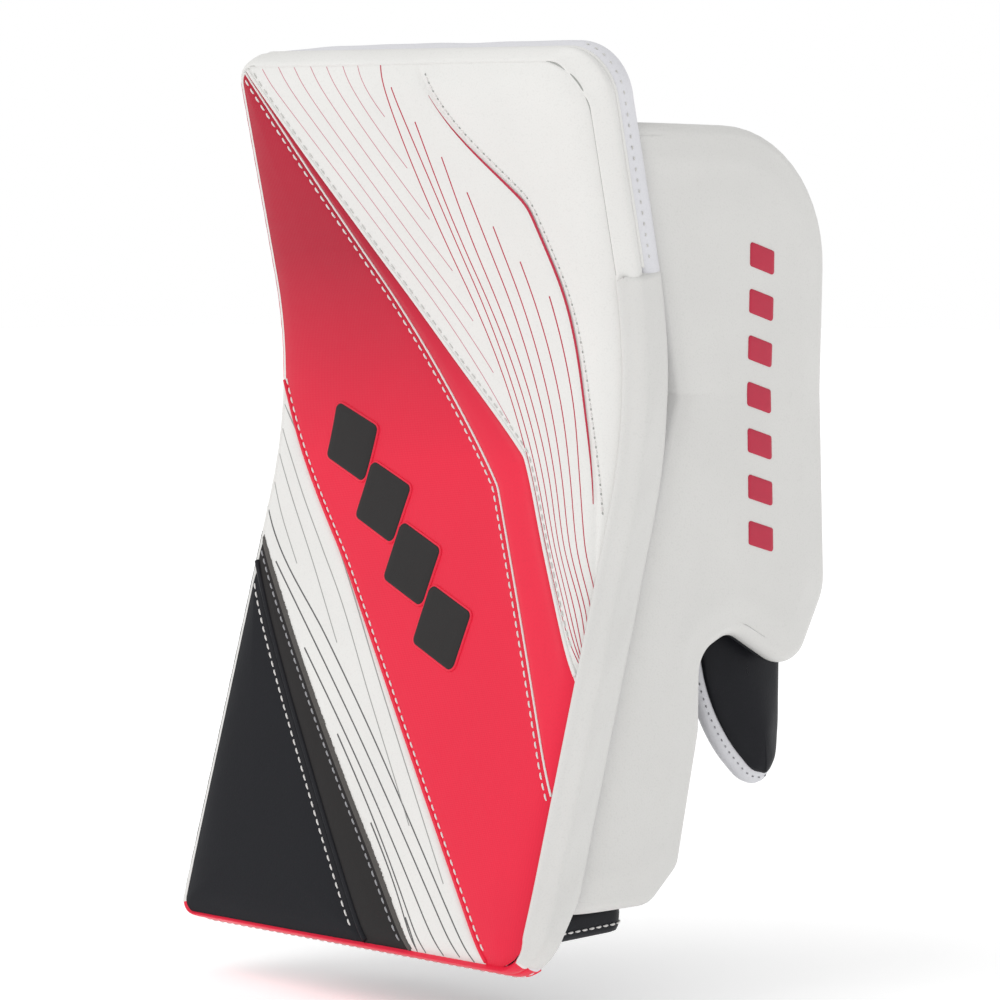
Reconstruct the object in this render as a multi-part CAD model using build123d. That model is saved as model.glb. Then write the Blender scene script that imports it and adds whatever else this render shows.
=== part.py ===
from build123d import *

import os
from math import cos, radians, sin, tan

# Goalie blocker for the right hand. Lengths are in millimetres.
# It is modelled in the board's frame and moved into the row frame at export.
# Board frame: +X to the thumb side, +Y behind the face, +Z to the wrist end, and the
# origin where the face's two flat stretches would meet. Along the board a place is
# (s, h): s is the distance from that meeting line, h is the depth behind the face.

# Board: a flat padded box, bent once at the wrist.
UP_ANGLE = radians(13.3)
LOW_ANGLE = radians(16.8)
UP_LENGTH = 139.5
LOW_LENGTH = 234.5
HALF_WIDTH = 100
BOARD_DEPTH = 24
BEND_RADIUS = 180
TOP_SLANT = 0.03
CORNER_RADII = {"top_left": 9, "top_right": 20, "low_left": 7, "low_right": 15}

# Board layers, as depths behind the face.
PANEL_DEPTH = 4
SOFT_DEPTH = 8
PLATE_DEPTH = 10
CORE_DEPTH = 21.5
WALL = 3
BAND_SPLIT = 12
BASE_LENGTH = 4
STRIP_THICKNESS = 2.2
STRIP_TOP = 46.5

# Seams of the face, as smooth runs of (x, z) that meet at corners.
SEAMS = {
    "far_left": [[(-130, 150), (-130, -245)]],
    "black_edge": [[(-112, -60), (-85, -101), (-35, -167.5), (20, -236)]],
    "charcoal_edge": [[(-112, -50), (-81, -90), (-32, -148), (12, -196), (50, -239)]],
    "stripe_edge": [[(-112, 27), (-88, -25), (-42, -79), (15, -148), (88, -236)]],
    "red_edge": [
        [(-104, 143), (-56, 74), (3, -4), (33, -39)],
        [(33, -39), (61, -92), (85, -139), (104, -178)],
        [(104, -178), (130, -245)],
    ],
    "trim_edge": [
        [(-103, 143), (-54, 80), (3, 13), (46, -27)],
        [(46, -27), (61, -55), (84, -95), (106, -133)],
        [(106, -133), (130, -245)],
    ],
    "lined_edge": [
        [(0, 142), (14, 116), (56, 75)],
        [(56, 75), (67, 44), (78, -9), (90, -52), (101, -125)],
        [(101, -125), (130, -245)],
    ],
    "far_right": [[(130, 150), (130, -245)]],
}
PANELS = {
    "face_panel_black": ("far_left", "black_edge"),
    "face_panel_charcoal": ("black_edge", "charcoal_edge"),
    "face_panel_striped": ("charcoal_edge", "stripe_edge"),
    "face_panel_red": ("stripe_edge", "red_edge"),
    "face_trim_red": ("red_edge", "trim_edge"),
    "face_panel_lined": ("trim_edge", "lined_edge"),
    "face_panel_white": ("lined_edge", "far_right"),
}

# Raised marks: slanted bars on the face, and dashes on the shield.
BADGE_START = (-52, -24)
BADGE_STEP = (24.5, -24.5)
BADGE_BAR = ((-12, 17.5), (14, 7), (10, -17.5), (-16, -7))
BADGE_COUNT = 4
BADGE_HEIGHT = 1
DASH_TOP = 54
DASH_PITCH = 19
DASH_BAR = ((58, 7), (72, 3), (72, -7), (58, -3))
DASH_COUNT = 7
DASH_HEIGHT = 0.6

# Side shield: a padded plate that flares out from the board's rear edge.
SHIELD_FLARE = radians(6)
SHIELD_DEPTHS = {"lining": 11, "stiffener": 9, "foam": 7.5, "skin": 2}
SHIELD_INSET = 4
SHIELD_OUTLINE = (
    ((-80, 108), 0), ((105.5, 108), 58), ((105.5, -84), 24), ((86, -118), 14), ((52, -97), 14),
    ((33, -106), 13), ((31.5, -138), 30), ((18, -191), 10), ((2, -205), 12), ((-80, -205), 0),
)

# Fingertip guard, across the finger end.
TIP_GUARD_X = (-46, 88)
TIP_GUARD_REAR = 8
TIP_GUARD_Z = (-219, -205)

# Hand side. The hand lies along the lower stretch, and the cuff along the upper one.
PAD_DEPTH = 31
PALM_X = (-39.5, 56.5)
PALM_S = (12, 100)
PALM_DEPTH = 60
LINER_DEPTH = 48
GLOVE_WALL = 2.5
FINGER_WIDTH = 22.6
FINGER_DEPTHS = (33, 58)
KNUCKLE_S = 101.2
JOINT_GAP = 1.3
PIVOT_DEPTH = 58.3
FINGERS = {  # middle-joint place, tip place, and the finger's middle in X
    "little": (140, 170, -27.2), "ring": (145, 182, -3.6),
    "middle": (147, 186, 20), "index": (144, 181, 43.6),
}

# Cuff and wrist strap.
CUFF_X = 14
CUFF_SIZE = (100, 61)
CUFF_DEPTH = 61.5
CUFF_S = (8, 86)
CUFF_CORNER = 26
STRAP_S = (28, 66)
STRAP_PIVOT_X = CUFF_X - CUFF_SIZE[0] / 2 - 3.4

# Thumb, in a frame turned about +Z: n points out through the guard, t to the rear.
THUMB_TURN = radians(12)
THUMB_AT = (94, 88)
THUMB_BASE_Z = (-39, -6)
THUMB_BASE_Y = (44, 105)
THUMB_BASE_X = (56.8, 88)
GUARD_DEPTH = 11
GUARD_OUTLINE = (
    ((-34, -48), 5), ((8, -48), 5), ((8, -150), 14), ((-4, -166), 9), ((-25, -151), 16),
    ((-34, -120), 24),
)
STALL_N = (-32, -11)
STALL_T = (-18, 8)
STALL_Z = (-152, -46)
THUMB_PIVOT = (-20, -44)


def upper(s, h):
    """A point on the upper stretch, as (y, z)."""
    return (h * cos(UP_ANGLE) - s * sin(UP_ANGLE), s * cos(UP_ANGLE) + h * sin(UP_ANGLE))


def lower(s, h):
    """A point on the lower stretch, as (y, z); s grows down the board."""
    return (h * cos(LOW_ANGLE) - s * sin(LOW_ANGLE), -s * cos(LOW_ANGLE) - h * sin(LOW_ANGLE))


UP_WAY = Vector(0, -sin(UP_ANGLE), cos(UP_ANGLE))
DOWN_WAY = Vector(0, -sin(LOW_ANGLE), -cos(LOW_ANGLE))
HALF_TURN = (UP_ANGLE + LOW_ANGLE) / 2
BEND_S = BEND_RADIUS * tan(HALF_TURN)
MOUTH = Vector(CUFF_X, *upper(CUFF_S[1], CUFF_DEPTH))


def upper_section(s):
    """A plane across the upper stretch: its x is X, its y is the depth."""
    return Plane((0, *upper(s, 0)), x_dir=(1, 0, 0), z_dir=UP_WAY)


def lower_section(s):
    """A plane across the lower stretch: its x is X, its y is the depth."""
    return Plane((0, *lower(s, 0)), x_dir=(1, 0, 0), z_dir=-DOWN_WAY)


def bend_line(depth, end_gap):
    """The board's line at one depth, from its wrist end to its finger end."""
    start, end = upper(UP_LENGTH + end_gap, depth), lower(LOW_LENGTH, depth)
    middle_way = (UP_ANGLE - LOW_ANGLE) / 2
    centre = upper(BEND_S, -BEND_RADIUS)
    reach = BEND_RADIUS + depth
    middle = (centre[0] + reach * cos(middle_way), centre[1] + reach * sin(middle_way))
    points = [start, upper(BEND_S, depth), middle, lower(BEND_S, depth), end]
    start, first, middle, last, end = [Vector(0, *p) for p in points]
    return [Line(start, first), ThreePointArc(first, middle, last), Line(last, end)]


def bent_slab(front, back, half_width=HALF_WIDTH + 60, end_gap=20):
    """A slab that follows the bend between two depths."""
    near, far = bend_line(front, end_gap), bend_line(back, end_gap)
    ends = [Line(near[0] @ 0, far[0] @ 0), Line(near[2] @ 1, far[2] @ 1)]
    section = make_face(near + far + ends)
    return extrude(section, half_width, dir=(1, 0, 0), both=True)


def corner_edges(block, front, back):
    """The four straight edges that run through the depth at the block's corners."""
    depth = back - front
    edges = [e for e in block.edges() if abs(e.length - depth) < 0.2 * depth]
    return [e for e in edges if abs(e.center().X) > HALF_WIDTH - 15 and abs(e.center().Z) > 100]


def board_block(front, back, inset=0):
    """The board between two depths, drawn in from its outline by inset."""
    outset = max(-inset, 0)
    slab = bent_slab(front, back, HALF_WIDTH - inset, 20)
    foot = Plane((0, *lower(LOW_LENGTH - max(inset, 0), 0)), z_dir=DOWN_WAY)
    head_way = UP_WAY + Vector(TOP_SLANT, 0, 0)
    head = Plane((0, *upper(UP_LENGTH + outset - max(inset, 0), 0)), z_dir=head_way)
    slab = split(split(slab, foot, keep=Keep.BOTTOM), head, keep=Keep.BOTTOM)
    for edge in corner_edges(slab, front, back):
        side = "left" if edge.center().X < 0 else "right"
        end = "top" if edge.center().Z > 0 else "low"
        radius = max(CORNER_RADII[f"{end}_{side}"] - inset, 2)
        same = [e for e in corner_edges(slab, front, back)
                if (e.center() - edge.center()).length < 1]
        slab = fillet(same, radius)
    return slab


def seam_edges(name):
    """A seam's runs as edges in the XZ plane."""
    runs = [[Vector(x, 0, z) for x, z in run] for run in SEAMS[name]]
    return [Spline(*run) if len(run) > 2 else Line(*run) for run in runs]


def region(left, right):
    """The prism along Y between two seams of the face."""
    near, far = seam_edges(left), seam_edges(right)
    gaps = [(near[0] @ 0, far[0] @ 0), (near[-1] @ 1, far[-1] @ 1)]
    ends = [Line(a, b) for a, b in gaps if (b - a).length > 0.1]
    return extrude(make_face(near + far + ends), 90, dir=(0, 1, 0), both=True)


def xz_prism(points):
    """A prism along Y with an outline of (x, z) points."""
    outline = Polyline(*[(x, 0, z) for x, z in points], close=True)
    return extrude(make_face(outline), 90, dir=(0, 1, 0), both=True)


def box(xs, ys, zs):
    """A box between two coordinates on each axis."""
    sizes = [b - a for a, b in (xs, ys, zs)]
    middle = [(a + b) / 2 for a, b in (xs, ys, zs)]
    return Pos(*middle) * Box(*sizes)


def rounded_outline(corners):
    """A flat outline of (u, v) corners, each with its own radius."""
    points = [Vector(*point) for point, _ in corners]
    count = len(points)
    edges, starts, ends = [], [], []
    for i, (_, radius) in enumerate(corners):
        here, before, after = points[i], points[i - 1], points[(i + 1) % count]
        into, out = (before - here).normalized(), (after - here).normalized()
        if radius == 0:
            starts.append(here)
            ends.append(here)
            continue
        half = radians(into.get_angle(out)) / 2
        first, last = here + into * (radius / tan(half)), here + out * (radius / tan(half))
        centre = here + (into + out).normalized() * (radius / sin(half))
        middle = centre + (here - centre).normalized() * radius
        edges.append(ThreePointArc(first, middle, last))
        starts.append(first)
        ends.append(last)
    edges += [Line(ends[i], starts[(i + 1) % count]) for i in range(count)]
    return make_face(edges)


def flared_layer(inner, outer):
    """The shield's space between two depths under its outer surface."""
    reach, lead = 150, 20
    root = Vector(0, BOARD_DEPTH / cos(HALF_TURN), 0)
    x0 = HALF_WIDTH + STRIP_THICKNESS
    slope = tan(SHIELD_FLARE)
    corners = [
        (x0 - inner - lead * slope, root.Y - lead), (x0 - outer - lead * slope, root.Y - lead),
        (x0 - outer + reach * slope, root.Y + reach), (x0 - inner + reach * slope, root.Y + reach),
    ]
    section = make_face(Polyline(*corners, close=True))
    return extrude(section, 170, dir=UP_WAY) + extrude(section, 260, dir=DOWN_WAY)


def shield_piece(inner, outer, inset=0):
    """A layer of the shield, cut to its outline and clear of the board."""
    outline = rounded_outline(SHIELD_OUTLINE)
    if inset:
        outline = offset(outline, amount=-inset)
    side_on = Plane.YZ * outline
    solid = extrude(side_on, 60, dir=(1, 0, 0))
    solid = Pos(80, 0, 0) * solid
    return (solid & flared_layer(inner, outer)) - bent_slab(-120, BOARD_DEPTH, end_gap=80)


def sleeve_solid(plane, x, depths, width, corner, length):
    """A rounded bar from a section plane down its normal."""
    middle = sum(depths) / 2
    shape = Pos(x, middle) * RectangleRounded(width, depths[1] - depths[0], corner)
    return extrude(plane * shape, -length)


def finger_piece(x, s_start, s_end, closed):
    """A padded stall, open at its start, and at its end unless closed."""
    bar = sleeve_solid(lower_section(s_start), x, FINGER_DEPTHS, FINGER_WIDTH, 7, s_end - s_start)
    if closed:
        bar = fillet(bar.faces().sort_by(Axis((0, 0, 0), tuple(DOWN_WAY)))[-1].edges(), 6)
    inner_depths = (FINGER_DEPTHS[0] + GLOVE_WALL, FINGER_DEPTHS[1] - GLOVE_WALL)
    inner_end = s_end - 3 if closed else s_end + 2
    hollow = sleeve_solid(
        lower_section(s_start - 2), x, inner_depths, FINGER_WIDTH - 2 * GLOVE_WALL, 5,
        inner_end - s_start + 2)
    return bar - hollow


def cuff_solid(grow, s_low, s_high):
    """A bar of the cuff's section, grown outward, between two places."""
    width, depth = CUFF_SIZE[0] + 2 * grow, CUFF_SIZE[1] + 2 * grow
    shape = Pos(CUFF_X, CUFF_DEPTH) * RectangleRounded(width, depth, CUFF_CORNER + grow)
    return extrude(upper_section(s_high) * shape, -(s_high - s_low))


def cuff_ring(inner, outer, s_low, s_high):
    """A ring round the cuff between two growths."""
    return cuff_solid(outer, s_low, s_high) - cuff_solid(inner, s_low - 1, s_high + 1)


def behind_cuff(depth, reach=80):
    """Everything behind one depth of the cuff."""
    shape = Pos(CUFF_X, depth + reach / 2) * Rectangle(300, reach)
    return extrude(upper_section(150) * shape, -250)


def palm_bar(grow, s_low, s_high):
    """A bar of the palm's section between two places."""
    depths = (PAD_DEPTH - grow, PALM_DEPTH + grow)
    width = PALM_X[1] - PALM_X[0] + 2 * grow
    middle = sum(PALM_X) / 2
    return sleeve_solid(lower_section(s_low), middle, depths, width, 11 + grow, s_high - s_low)


def thumb_section(z):
    """A level plane at the thumb: its x is n and its y is t."""
    return Plane((*THUMB_AT, z), x_dir=(cos(THUMB_TURN), -sin(THUMB_TURN), 0), z_dir=(0, 0, 1))


def guard_piece(inner, outer, grow=0):
    """A layer of the thumb guard between two depths under its face."""
    outline = rounded_outline(GUARD_OUTLINE)
    if grow:
        outline = offset(outline, amount=grow)
    out_way = Vector(cos(THUMB_TURN), -sin(THUMB_TURN), 0)
    origin = Vector(*THUMB_AT, 0) - out_way * inner
    plane = Plane(origin, x_dir=(sin(THUMB_TURN), cos(THUMB_TURN), 0), z_dir=out_way)
    return extrude(plane * outline, inner - outer)


def thumb_bar(grow, z_low, z_high, corner):
    """A bar of the thumb stall's section."""
    sizes = [b - a + 2 * grow for a, b in (STALL_N, STALL_T)]
    middle = [sum(STALL_N) / 2, sum(STALL_T) / 2]
    shape = Pos(*middle) * RectangleRounded(*sizes, corner)
    return extrude(thumb_section(z_high) * shape, -(z_high - z_low))


def face_nodes():
    """The sewn panels of the face and the raised badge."""
    blank = board_block(0, PANEL_DEPTH, WALL)
    nodes = {name: blank & region(*seams) for name, seams in PANELS.items()}
    raised = bent_slab(-BADGE_HEIGHT, 0)
    bars = []
    for i in range(BADGE_COUNT):
        at = (BADGE_START[0] + i * BADGE_STEP[0], BADGE_START[1] + i * BADGE_STEP[1])
        bars.append(raised & xz_prism([(at[0] + x, at[1] + z) for x, z in BADGE_BAR]))
    nodes["face_badge"] = Compound([bar.solid() for bar in bars])
    return nodes


def board_nodes():
    """The board's inner layers and its side walls."""
    nodes = {
        "soft_face_foam": board_block(PANEL_DEPTH, SOFT_DEPTH, WALL),
        "stiffener_plate": board_block(SOFT_DEPTH, PLATE_DEPTH, WALL),
        "core_foam": board_block(PLATE_DEPTH, CORE_DEPTH, WALL),
        "rear_cover": board_block(CORE_DEPTH, BOARD_DEPTH, WALL),
    }
    base_cut = Plane((0, *lower(LOW_LENGTH - BASE_LENGTH, 0)), z_dir=DOWN_WAY)
    rims = {"front": (0, BAND_SPLIT), "rear": (BAND_SPLIT, BOARD_DEPTH)}
    for name, (front, back) in rims.items():
        rim = board_block(front, back) - board_block(front, back, WALL)
        nodes[f"sidewall_{name}_band"] = split(rim, base_cut, keep=Keep.BOTTOM)
        nodes[f"base_{name}_band"] = split(rim, base_cut, keep=Keep.TOP)
    strip = board_block(0.5, BOARD_DEPTH, -STRIP_THICKNESS) - board_block(0, BOARD_DEPTH + 1)
    keep = box((HALF_WIDTH - 13, 130), (-120, 60), (-240, STRIP_TOP))
    nodes["shield_mount_strip"] = strip & keep
    pipe = board_block(BAND_SPLIT - 0.8, BAND_SPLIT + 0.8, -1) - board_block(0, BOARD_DEPTH)
    nodes["edge_piping"] = pipe & box((-130, 130), (-120, 60), (STRIP_TOP + 1, 150))
    return nodes


def shield_nodes():
    """The side shield, from its lining out to its cover and its marks."""
    depths = SHIELD_DEPTHS
    cover = shield_piece(depths["stiffener"], 0)
    nodes = {
        "shield_lining": shield_piece(depths["lining"], depths["stiffener"]),
        "shield_stiffener": shield_piece(depths["stiffener"], depths["foam"], SHIELD_INSET),
        "shield_foam": shield_piece(depths["foam"], depths["skin"], SHIELD_INSET),
    }
    nodes["shield_cover"] = cover - shield_piece(depths["stiffener"], depths["skin"], SHIELD_INSET)
    marks = flared_layer(0, -DASH_HEIGHT)
    dashes = []
    for i in range(DASH_COUNT):
        z = DASH_TOP - i * DASH_PITCH
        outline = Polyline(*[(0, y, z + dz) for y, dz in DASH_BAR], close=True)
        dashes.append(marks & extrude(make_face(outline), 140, dir=(1, 0, 0)))
    nodes["shield_dashes"] = Compound([dash.solid() for dash in dashes])
    return nodes


def hand_nodes():
    """Everything fixed on the hand side: pad, palm, wrist gusset, cuff, fingertip guard."""
    pad = bent_slab(BOARD_DEPTH, PAD_DEPTH) & box(PALM_X, (-90, 90), (-184, 62))
    guard = box(TIP_GUARD_X, (-50, TIP_GUARD_REAR), TIP_GUARD_Z)
    guard = fillet(guard.edges().filter_by(Axis.Z).sort_by(Axis.Y)[-2:], 8)
    filling = box([x + s for x, s in zip(TIP_GUARD_X, (2, -2))], (-50, TIP_GUARD_REAR - 2),
                  [z + s for z, s in zip(TIP_GUARD_Z, (2, -2))])
    board = bent_slab(-120, BOARD_DEPTH, end_gap=80)
    palm_tube = palm_bar(0, *PALM_S) - palm_bar(-GLOVE_WALL, PALM_S[0] - 1, PALM_S[1] + 1)
    window = box((50, 60), (20, 52), (THUMB_BASE_Z[0] + 3, THUMB_BASE_Z[1] - 4))
    palm_tube -= window
    rear = extrude(lower_section(-20) * (Pos(0, LINER_DEPTH + 40) * Rectangle(300, 80)), -200)
    patch_at = lower_section(57) * Pos(sum(PALM_X) / 2, PALM_DEPTH + 0.75)
    nodes = {
        "hand_pad": pad,
        "tip_guard_cover": (guard - filling) - board,
        "tip_guard_foam": filling - board,
        "hand_liner": palm_tube - rear,
        "palm": palm_tube & rear,
        "palm_patch": patch_at * Box(68, 1.5, 56),
        "wrist_gusset": wrist_bar(0) - wrist_bar(-GLOVE_WALL),
        "cuff_shell": cuff_ring(-GLOVE_WALL, 0, *CUFF_S),
        "cuff_lining": cuff_ring(-4, -GLOVE_WALL, *CUFF_S),
        "cuff_binding": cuff_ring(0, 1.5, CUFF_S[1] - 7, CUFF_S[1]),
    }
    base = box(THUMB_BASE_X, THUMB_BASE_Y, THUMB_BASE_Z)
    base = fillet(base.edges().filter_by(Axis.Z).sort_by(Axis.X)[-2:], 9)
    room = box((40, THUMB_BASE_X[1] - GLOVE_WALL),
               [y + s for y, s in zip(THUMB_BASE_Y, (GLOVE_WALL, -GLOVE_WALL))],
               (THUMB_BASE_Z[0] - 5, THUMB_BASE_Z[1] - GLOVE_WALL))
    nodes["thumb_base"] = base - room - palm_bar(0.3, *PALM_S) - wrist_bar(0.3)
    return nodes


def wrist_bar(grow):
    """The soft tube's outer shape from the palm to the cuff round the bend, grown."""
    palm_middle = Pos(sum(PALM_X) / 2, (PAD_DEPTH + PALM_DEPTH) / 2)
    palm_size = (PALM_X[1] - PALM_X[0] + 2 * grow, PALM_DEPTH - PAD_DEPTH + 2 * grow)
    cuff_size = (CUFF_SIZE[0] + 2 * grow, CUFF_SIZE[1] + 2 * grow)
    palm_shape = palm_middle * RectangleRounded(*palm_size, 11 + grow)
    cuff_shape = Pos(CUFF_X, CUFF_DEPTH) * RectangleRounded(*cuff_size, CUFF_CORNER + grow)
    ends = [lower_section(PALM_S[0]) * palm_shape, upper_section(CUFF_S[0]) * cuff_shape]
    return loft(ends, ruled=True)


def strap_nodes():
    """The wrist strap with its hook patch, the loop patch under it and its anchor."""
    right = box((CUFF_X + 22, 150), (-200, 200), (-50, 150))
    left = box((-150, CUFF_X), (-200, 200), (-50, 150))
    rear = behind_cuff(60)
    anchor_zone = (behind_cuff(46) - behind_cuff(58.4)) & left
    return {
        "wrist_strap": cuff_ring(2.4, 4.4, *STRAP_S) & rear,
        "strap_hook_patch": cuff_ring(1.6, 2.4, STRAP_S[0] + 2, STRAP_S[1] - 2) & rear & right,
        "cuff_loop_patch": cuff_ring(0, 1.3, STRAP_S[0] + 2, STRAP_S[1] - 2) & rear & right,
        "strap_anchor": cuff_ring(0, 4.4, *STRAP_S) & anchor_zone,
    }


def finger_nodes():
    """Two stalls for each finger, one past the knuckle and one past the middle joint."""
    nodes = {}
    for name, (middle, tip, x) in FINGERS.items():
        start = KNUCKLE_S + JOINT_GAP
        nodes[f"{name}_stall"] = finger_piece(x, start, middle - JOINT_GAP, False)
        nodes[f"{name}_tip"] = finger_piece(x, middle + JOINT_GAP, tip, True)
    return nodes


def thumb_nodes():
    """The thumb stall and the leaf-shaped guard sewn to its outer side."""
    stall = thumb_bar(0, *STALL_Z, 7)
    stall = fillet(stall.faces().sort_by(Axis.Z)[0].edges(), 6)
    stall -= thumb_bar(-GLOVE_WALL, STALL_Z[0] + 3, STALL_Z[1] + 5, 5)
    cover = guard_piece(GUARD_DEPTH, 2.5, 3.5)
    filling = guard_piece(GUARD_DEPTH - 1.5, 2.5, -1)
    return {
        "thumb_stall": stall,
        "thumb_guard_cover": cover - filling,
        "thumb_guard_foam": filling,
        "thumb_guard_face": guard_piece(2.5, 0),
    }


def main():
    """Builds every node and writes it in the row frame."""
    os.makedirs("parts", exist_ok=True)
    place = Location(-MOUTH)
    builders = (face_nodes, board_nodes, shield_nodes, hand_nodes, strap_nodes, finger_nodes,
                thumb_nodes)
    for build in builders:
        for name, shape in build().items():
            export_step(shape.moved(place), f"parts/{name}.step")
    print("row origin in the board frame:", tuple(round(v, 2) for v in MOUTH))


main()
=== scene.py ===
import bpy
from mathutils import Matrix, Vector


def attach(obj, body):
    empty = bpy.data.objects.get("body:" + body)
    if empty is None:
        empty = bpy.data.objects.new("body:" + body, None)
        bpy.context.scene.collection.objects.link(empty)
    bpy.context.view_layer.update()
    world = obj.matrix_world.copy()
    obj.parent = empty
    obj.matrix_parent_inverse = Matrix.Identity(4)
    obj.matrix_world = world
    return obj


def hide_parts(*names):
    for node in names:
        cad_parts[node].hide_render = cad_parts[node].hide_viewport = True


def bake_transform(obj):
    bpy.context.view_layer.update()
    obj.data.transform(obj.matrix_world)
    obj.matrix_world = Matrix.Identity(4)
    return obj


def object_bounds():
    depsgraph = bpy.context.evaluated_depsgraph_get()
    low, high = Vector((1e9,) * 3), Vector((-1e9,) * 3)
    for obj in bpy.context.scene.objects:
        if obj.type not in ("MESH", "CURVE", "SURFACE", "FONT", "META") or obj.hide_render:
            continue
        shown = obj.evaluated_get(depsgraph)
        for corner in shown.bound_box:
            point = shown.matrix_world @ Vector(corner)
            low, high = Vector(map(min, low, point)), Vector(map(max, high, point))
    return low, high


bl_info = {
    "name": "Goalie blocker",
    "version": (1, 0, 0),
    "blender": (4, 5, 0),
    "location": "View3D > Sidebar > Blocker",
    "description": "Sewn skins, pads, stitching and finishes for a goalie blocker",
    "category": "Add Mesh",
}

from math import cos, pi, radians, sin, tan

import bpy
import numpy as np
from bpy.props import FloatProperty, FloatVectorProperty, PointerProperty

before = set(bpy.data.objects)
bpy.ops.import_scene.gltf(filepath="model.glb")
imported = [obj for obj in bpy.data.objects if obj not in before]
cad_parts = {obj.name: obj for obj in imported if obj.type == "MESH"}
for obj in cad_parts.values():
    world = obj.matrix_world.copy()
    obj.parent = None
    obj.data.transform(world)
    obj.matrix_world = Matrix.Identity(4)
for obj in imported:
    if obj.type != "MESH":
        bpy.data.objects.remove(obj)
CAD_BOX = [list(corner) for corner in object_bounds()]

# Shapes are worked out in millimetres, in the board's frame: +X to the thumb side, +Y behind
# the face, +Z to the wrist end, and the origin where the face's two flat stretches would meet.
# On the board a place is (x, s, h): s runs up the face from that line, h is the depth behind
# the face. ROW_ORIGIN is the cuff's mouth, where the row frame has its origin.
MM = 0.001
UP_ANGLE = radians(13.3)
LOW_ANGLE = radians(16.8)
UP_LENGTH = 139.5
LOW_LENGTH = 234.5
HALF_WIDTH = 100.0
BOARD_DEPTH = 24.0
BEND_RADIUS = 180.0
TOP_SLANT = 0.03
BEND_S = BEND_RADIUS * tan((UP_ANGLE + LOW_ANGLE) / 2)
BASE_LENGTH = 4.0
STRIP_TOP = 47.6
STRIP_OUT = 2.2
CUFF_X = 14.0
CUFF_SIZE = (100.0, 61.0)
CUFF_DEPTH = 61.5
CUFF_S = (8.0, 86.0)
PALM_X = (-39.5, 56.5)
PALM_S = (12.0, 100.0)
PALM_DEPTHS = (31.0, 60.0)
KNUCKLE_S = 101.2
FINGER_WIDTH = 22.6
FINGER_DEPTHS = (33.0, 58.0)
FINGERS = {
    "little": (140.0, 170.0, -27.2), "ring": (145.0, 182.0, -3.6),
    "middle": (147.0, 186.0, 20.0), "index": (144.0, 181.0, 43.6),
}
SHIELD_FLARE = radians(6)
SHIELD_OUTLINE = (
    ((-80, 108), 0), ((106.5, 108), 58), ((106.5, -84), 24), ((87, -119), 14), ((52, -98.5), 14),
    ((34, -107), 13), ((32.5, -138), 30), ((19, -192), 10), ((3, -206), 12), ((-80, -206), 0),
)
SLEEVE_POWER = 2.9
THUMB_TURN = radians(12)
THUMB_AT = (94.0, 88.0)
GUARD_LEFT = ((-34, -56), (-34, -85), (-33.4, -108), (-30, -126), (-23, -142), (-13, -155.5),
              (-3, -163.5), (2.5, -163.8), (6.6, -158), (8.6, -145), (9, -128), (9, -56))
TIP_GUARD_X = (-46.0, 88.0)
TIP_GUARD_Z = (-219.0, -205.0)
TIP_GUARD_REAR = 8.0

SEAMS = {
    "far_left": [[(-130, 150), (-130, -245)]],
    "black_edge": [[(-112, -60), (-85, -101), (-35, -167.5), (20, -236)]],
    "charcoal_edge": [[(-112, -50), (-81, -90), (-32, -148), (12, -196), (50, -239)]],
    "stripe_edge": [[(-112, 27), (-88, -25), (-42, -79), (15, -148), (88, -236)]],
    "red_edge": [
        [(-104, 143), (-56, 74), (3, -4), (33, -39)],
        [(33, -39), (61, -92), (85, -139), (104, -178)],
        [(104, -178), (130, -245)],
    ],
    "trim_edge": [
        [(-103, 143), (-54, 80), (3, 13), (46, -27)],
        [(46, -27), (61, -55), (84, -95), (106, -133)],
        [(106, -133), (130, -245)],
    ],
    "lined_edge": [
        [(0, 142), (14, 116), (56, 75)],
        [(56, 75), (67, 44), (78, -9), (90, -52), (101, -125)],
        [(101, -125), (130, -245)],
    ],
    "far_right": [[(130, 150), (130, -245)]],
}
PANELS = {
    "face_panel_black": ("far_left", "black_edge", "black_leather"),
    "face_panel_charcoal": ("black_edge", "charcoal_edge", "charcoal_leather"),
    "face_panel_striped": ("charcoal_edge", "stripe_edge", "white_leather"),
    "face_panel_red": ("stripe_edge", "red_edge", "red_weave"),
    "face_trim_red": ("red_edge", "trim_edge", "red_leather"),
    "face_panel_lined": ("trim_edge", "lined_edge", "white_leather"),
    "face_panel_white": ("lined_edge", "far_right", "white_leather"),
}


# ---------------------------------------------------------------- the board's surface

def upper(s, h):
    """(y, z) on the wrist half's plane."""
    return h * cos(UP_ANGLE) - s * sin(UP_ANGLE), s * cos(UP_ANGLE) + h * sin(UP_ANGLE)


def lower(s, h):
    """(y, z) on the finger half's plane, with s counted down the board."""
    return h * cos(LOW_ANGLE) - s * sin(LOW_ANGLE), -s * cos(LOW_ANGLE) - h * sin(LOW_ANGLE)


ROW_ORIGIN = np.array([CUFF_X, *upper(CUFF_S[1], CUFF_DEPTH)])


def normal_angle(s):
    """The angle of the board's rear normal: fixed on the flats, and even along the bend."""
    share = np.clip((s + BEND_S) / (2 * BEND_S), 0, 1)
    return share * (UP_ANGLE + LOW_ANGLE) - LOW_ANGLE


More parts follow.
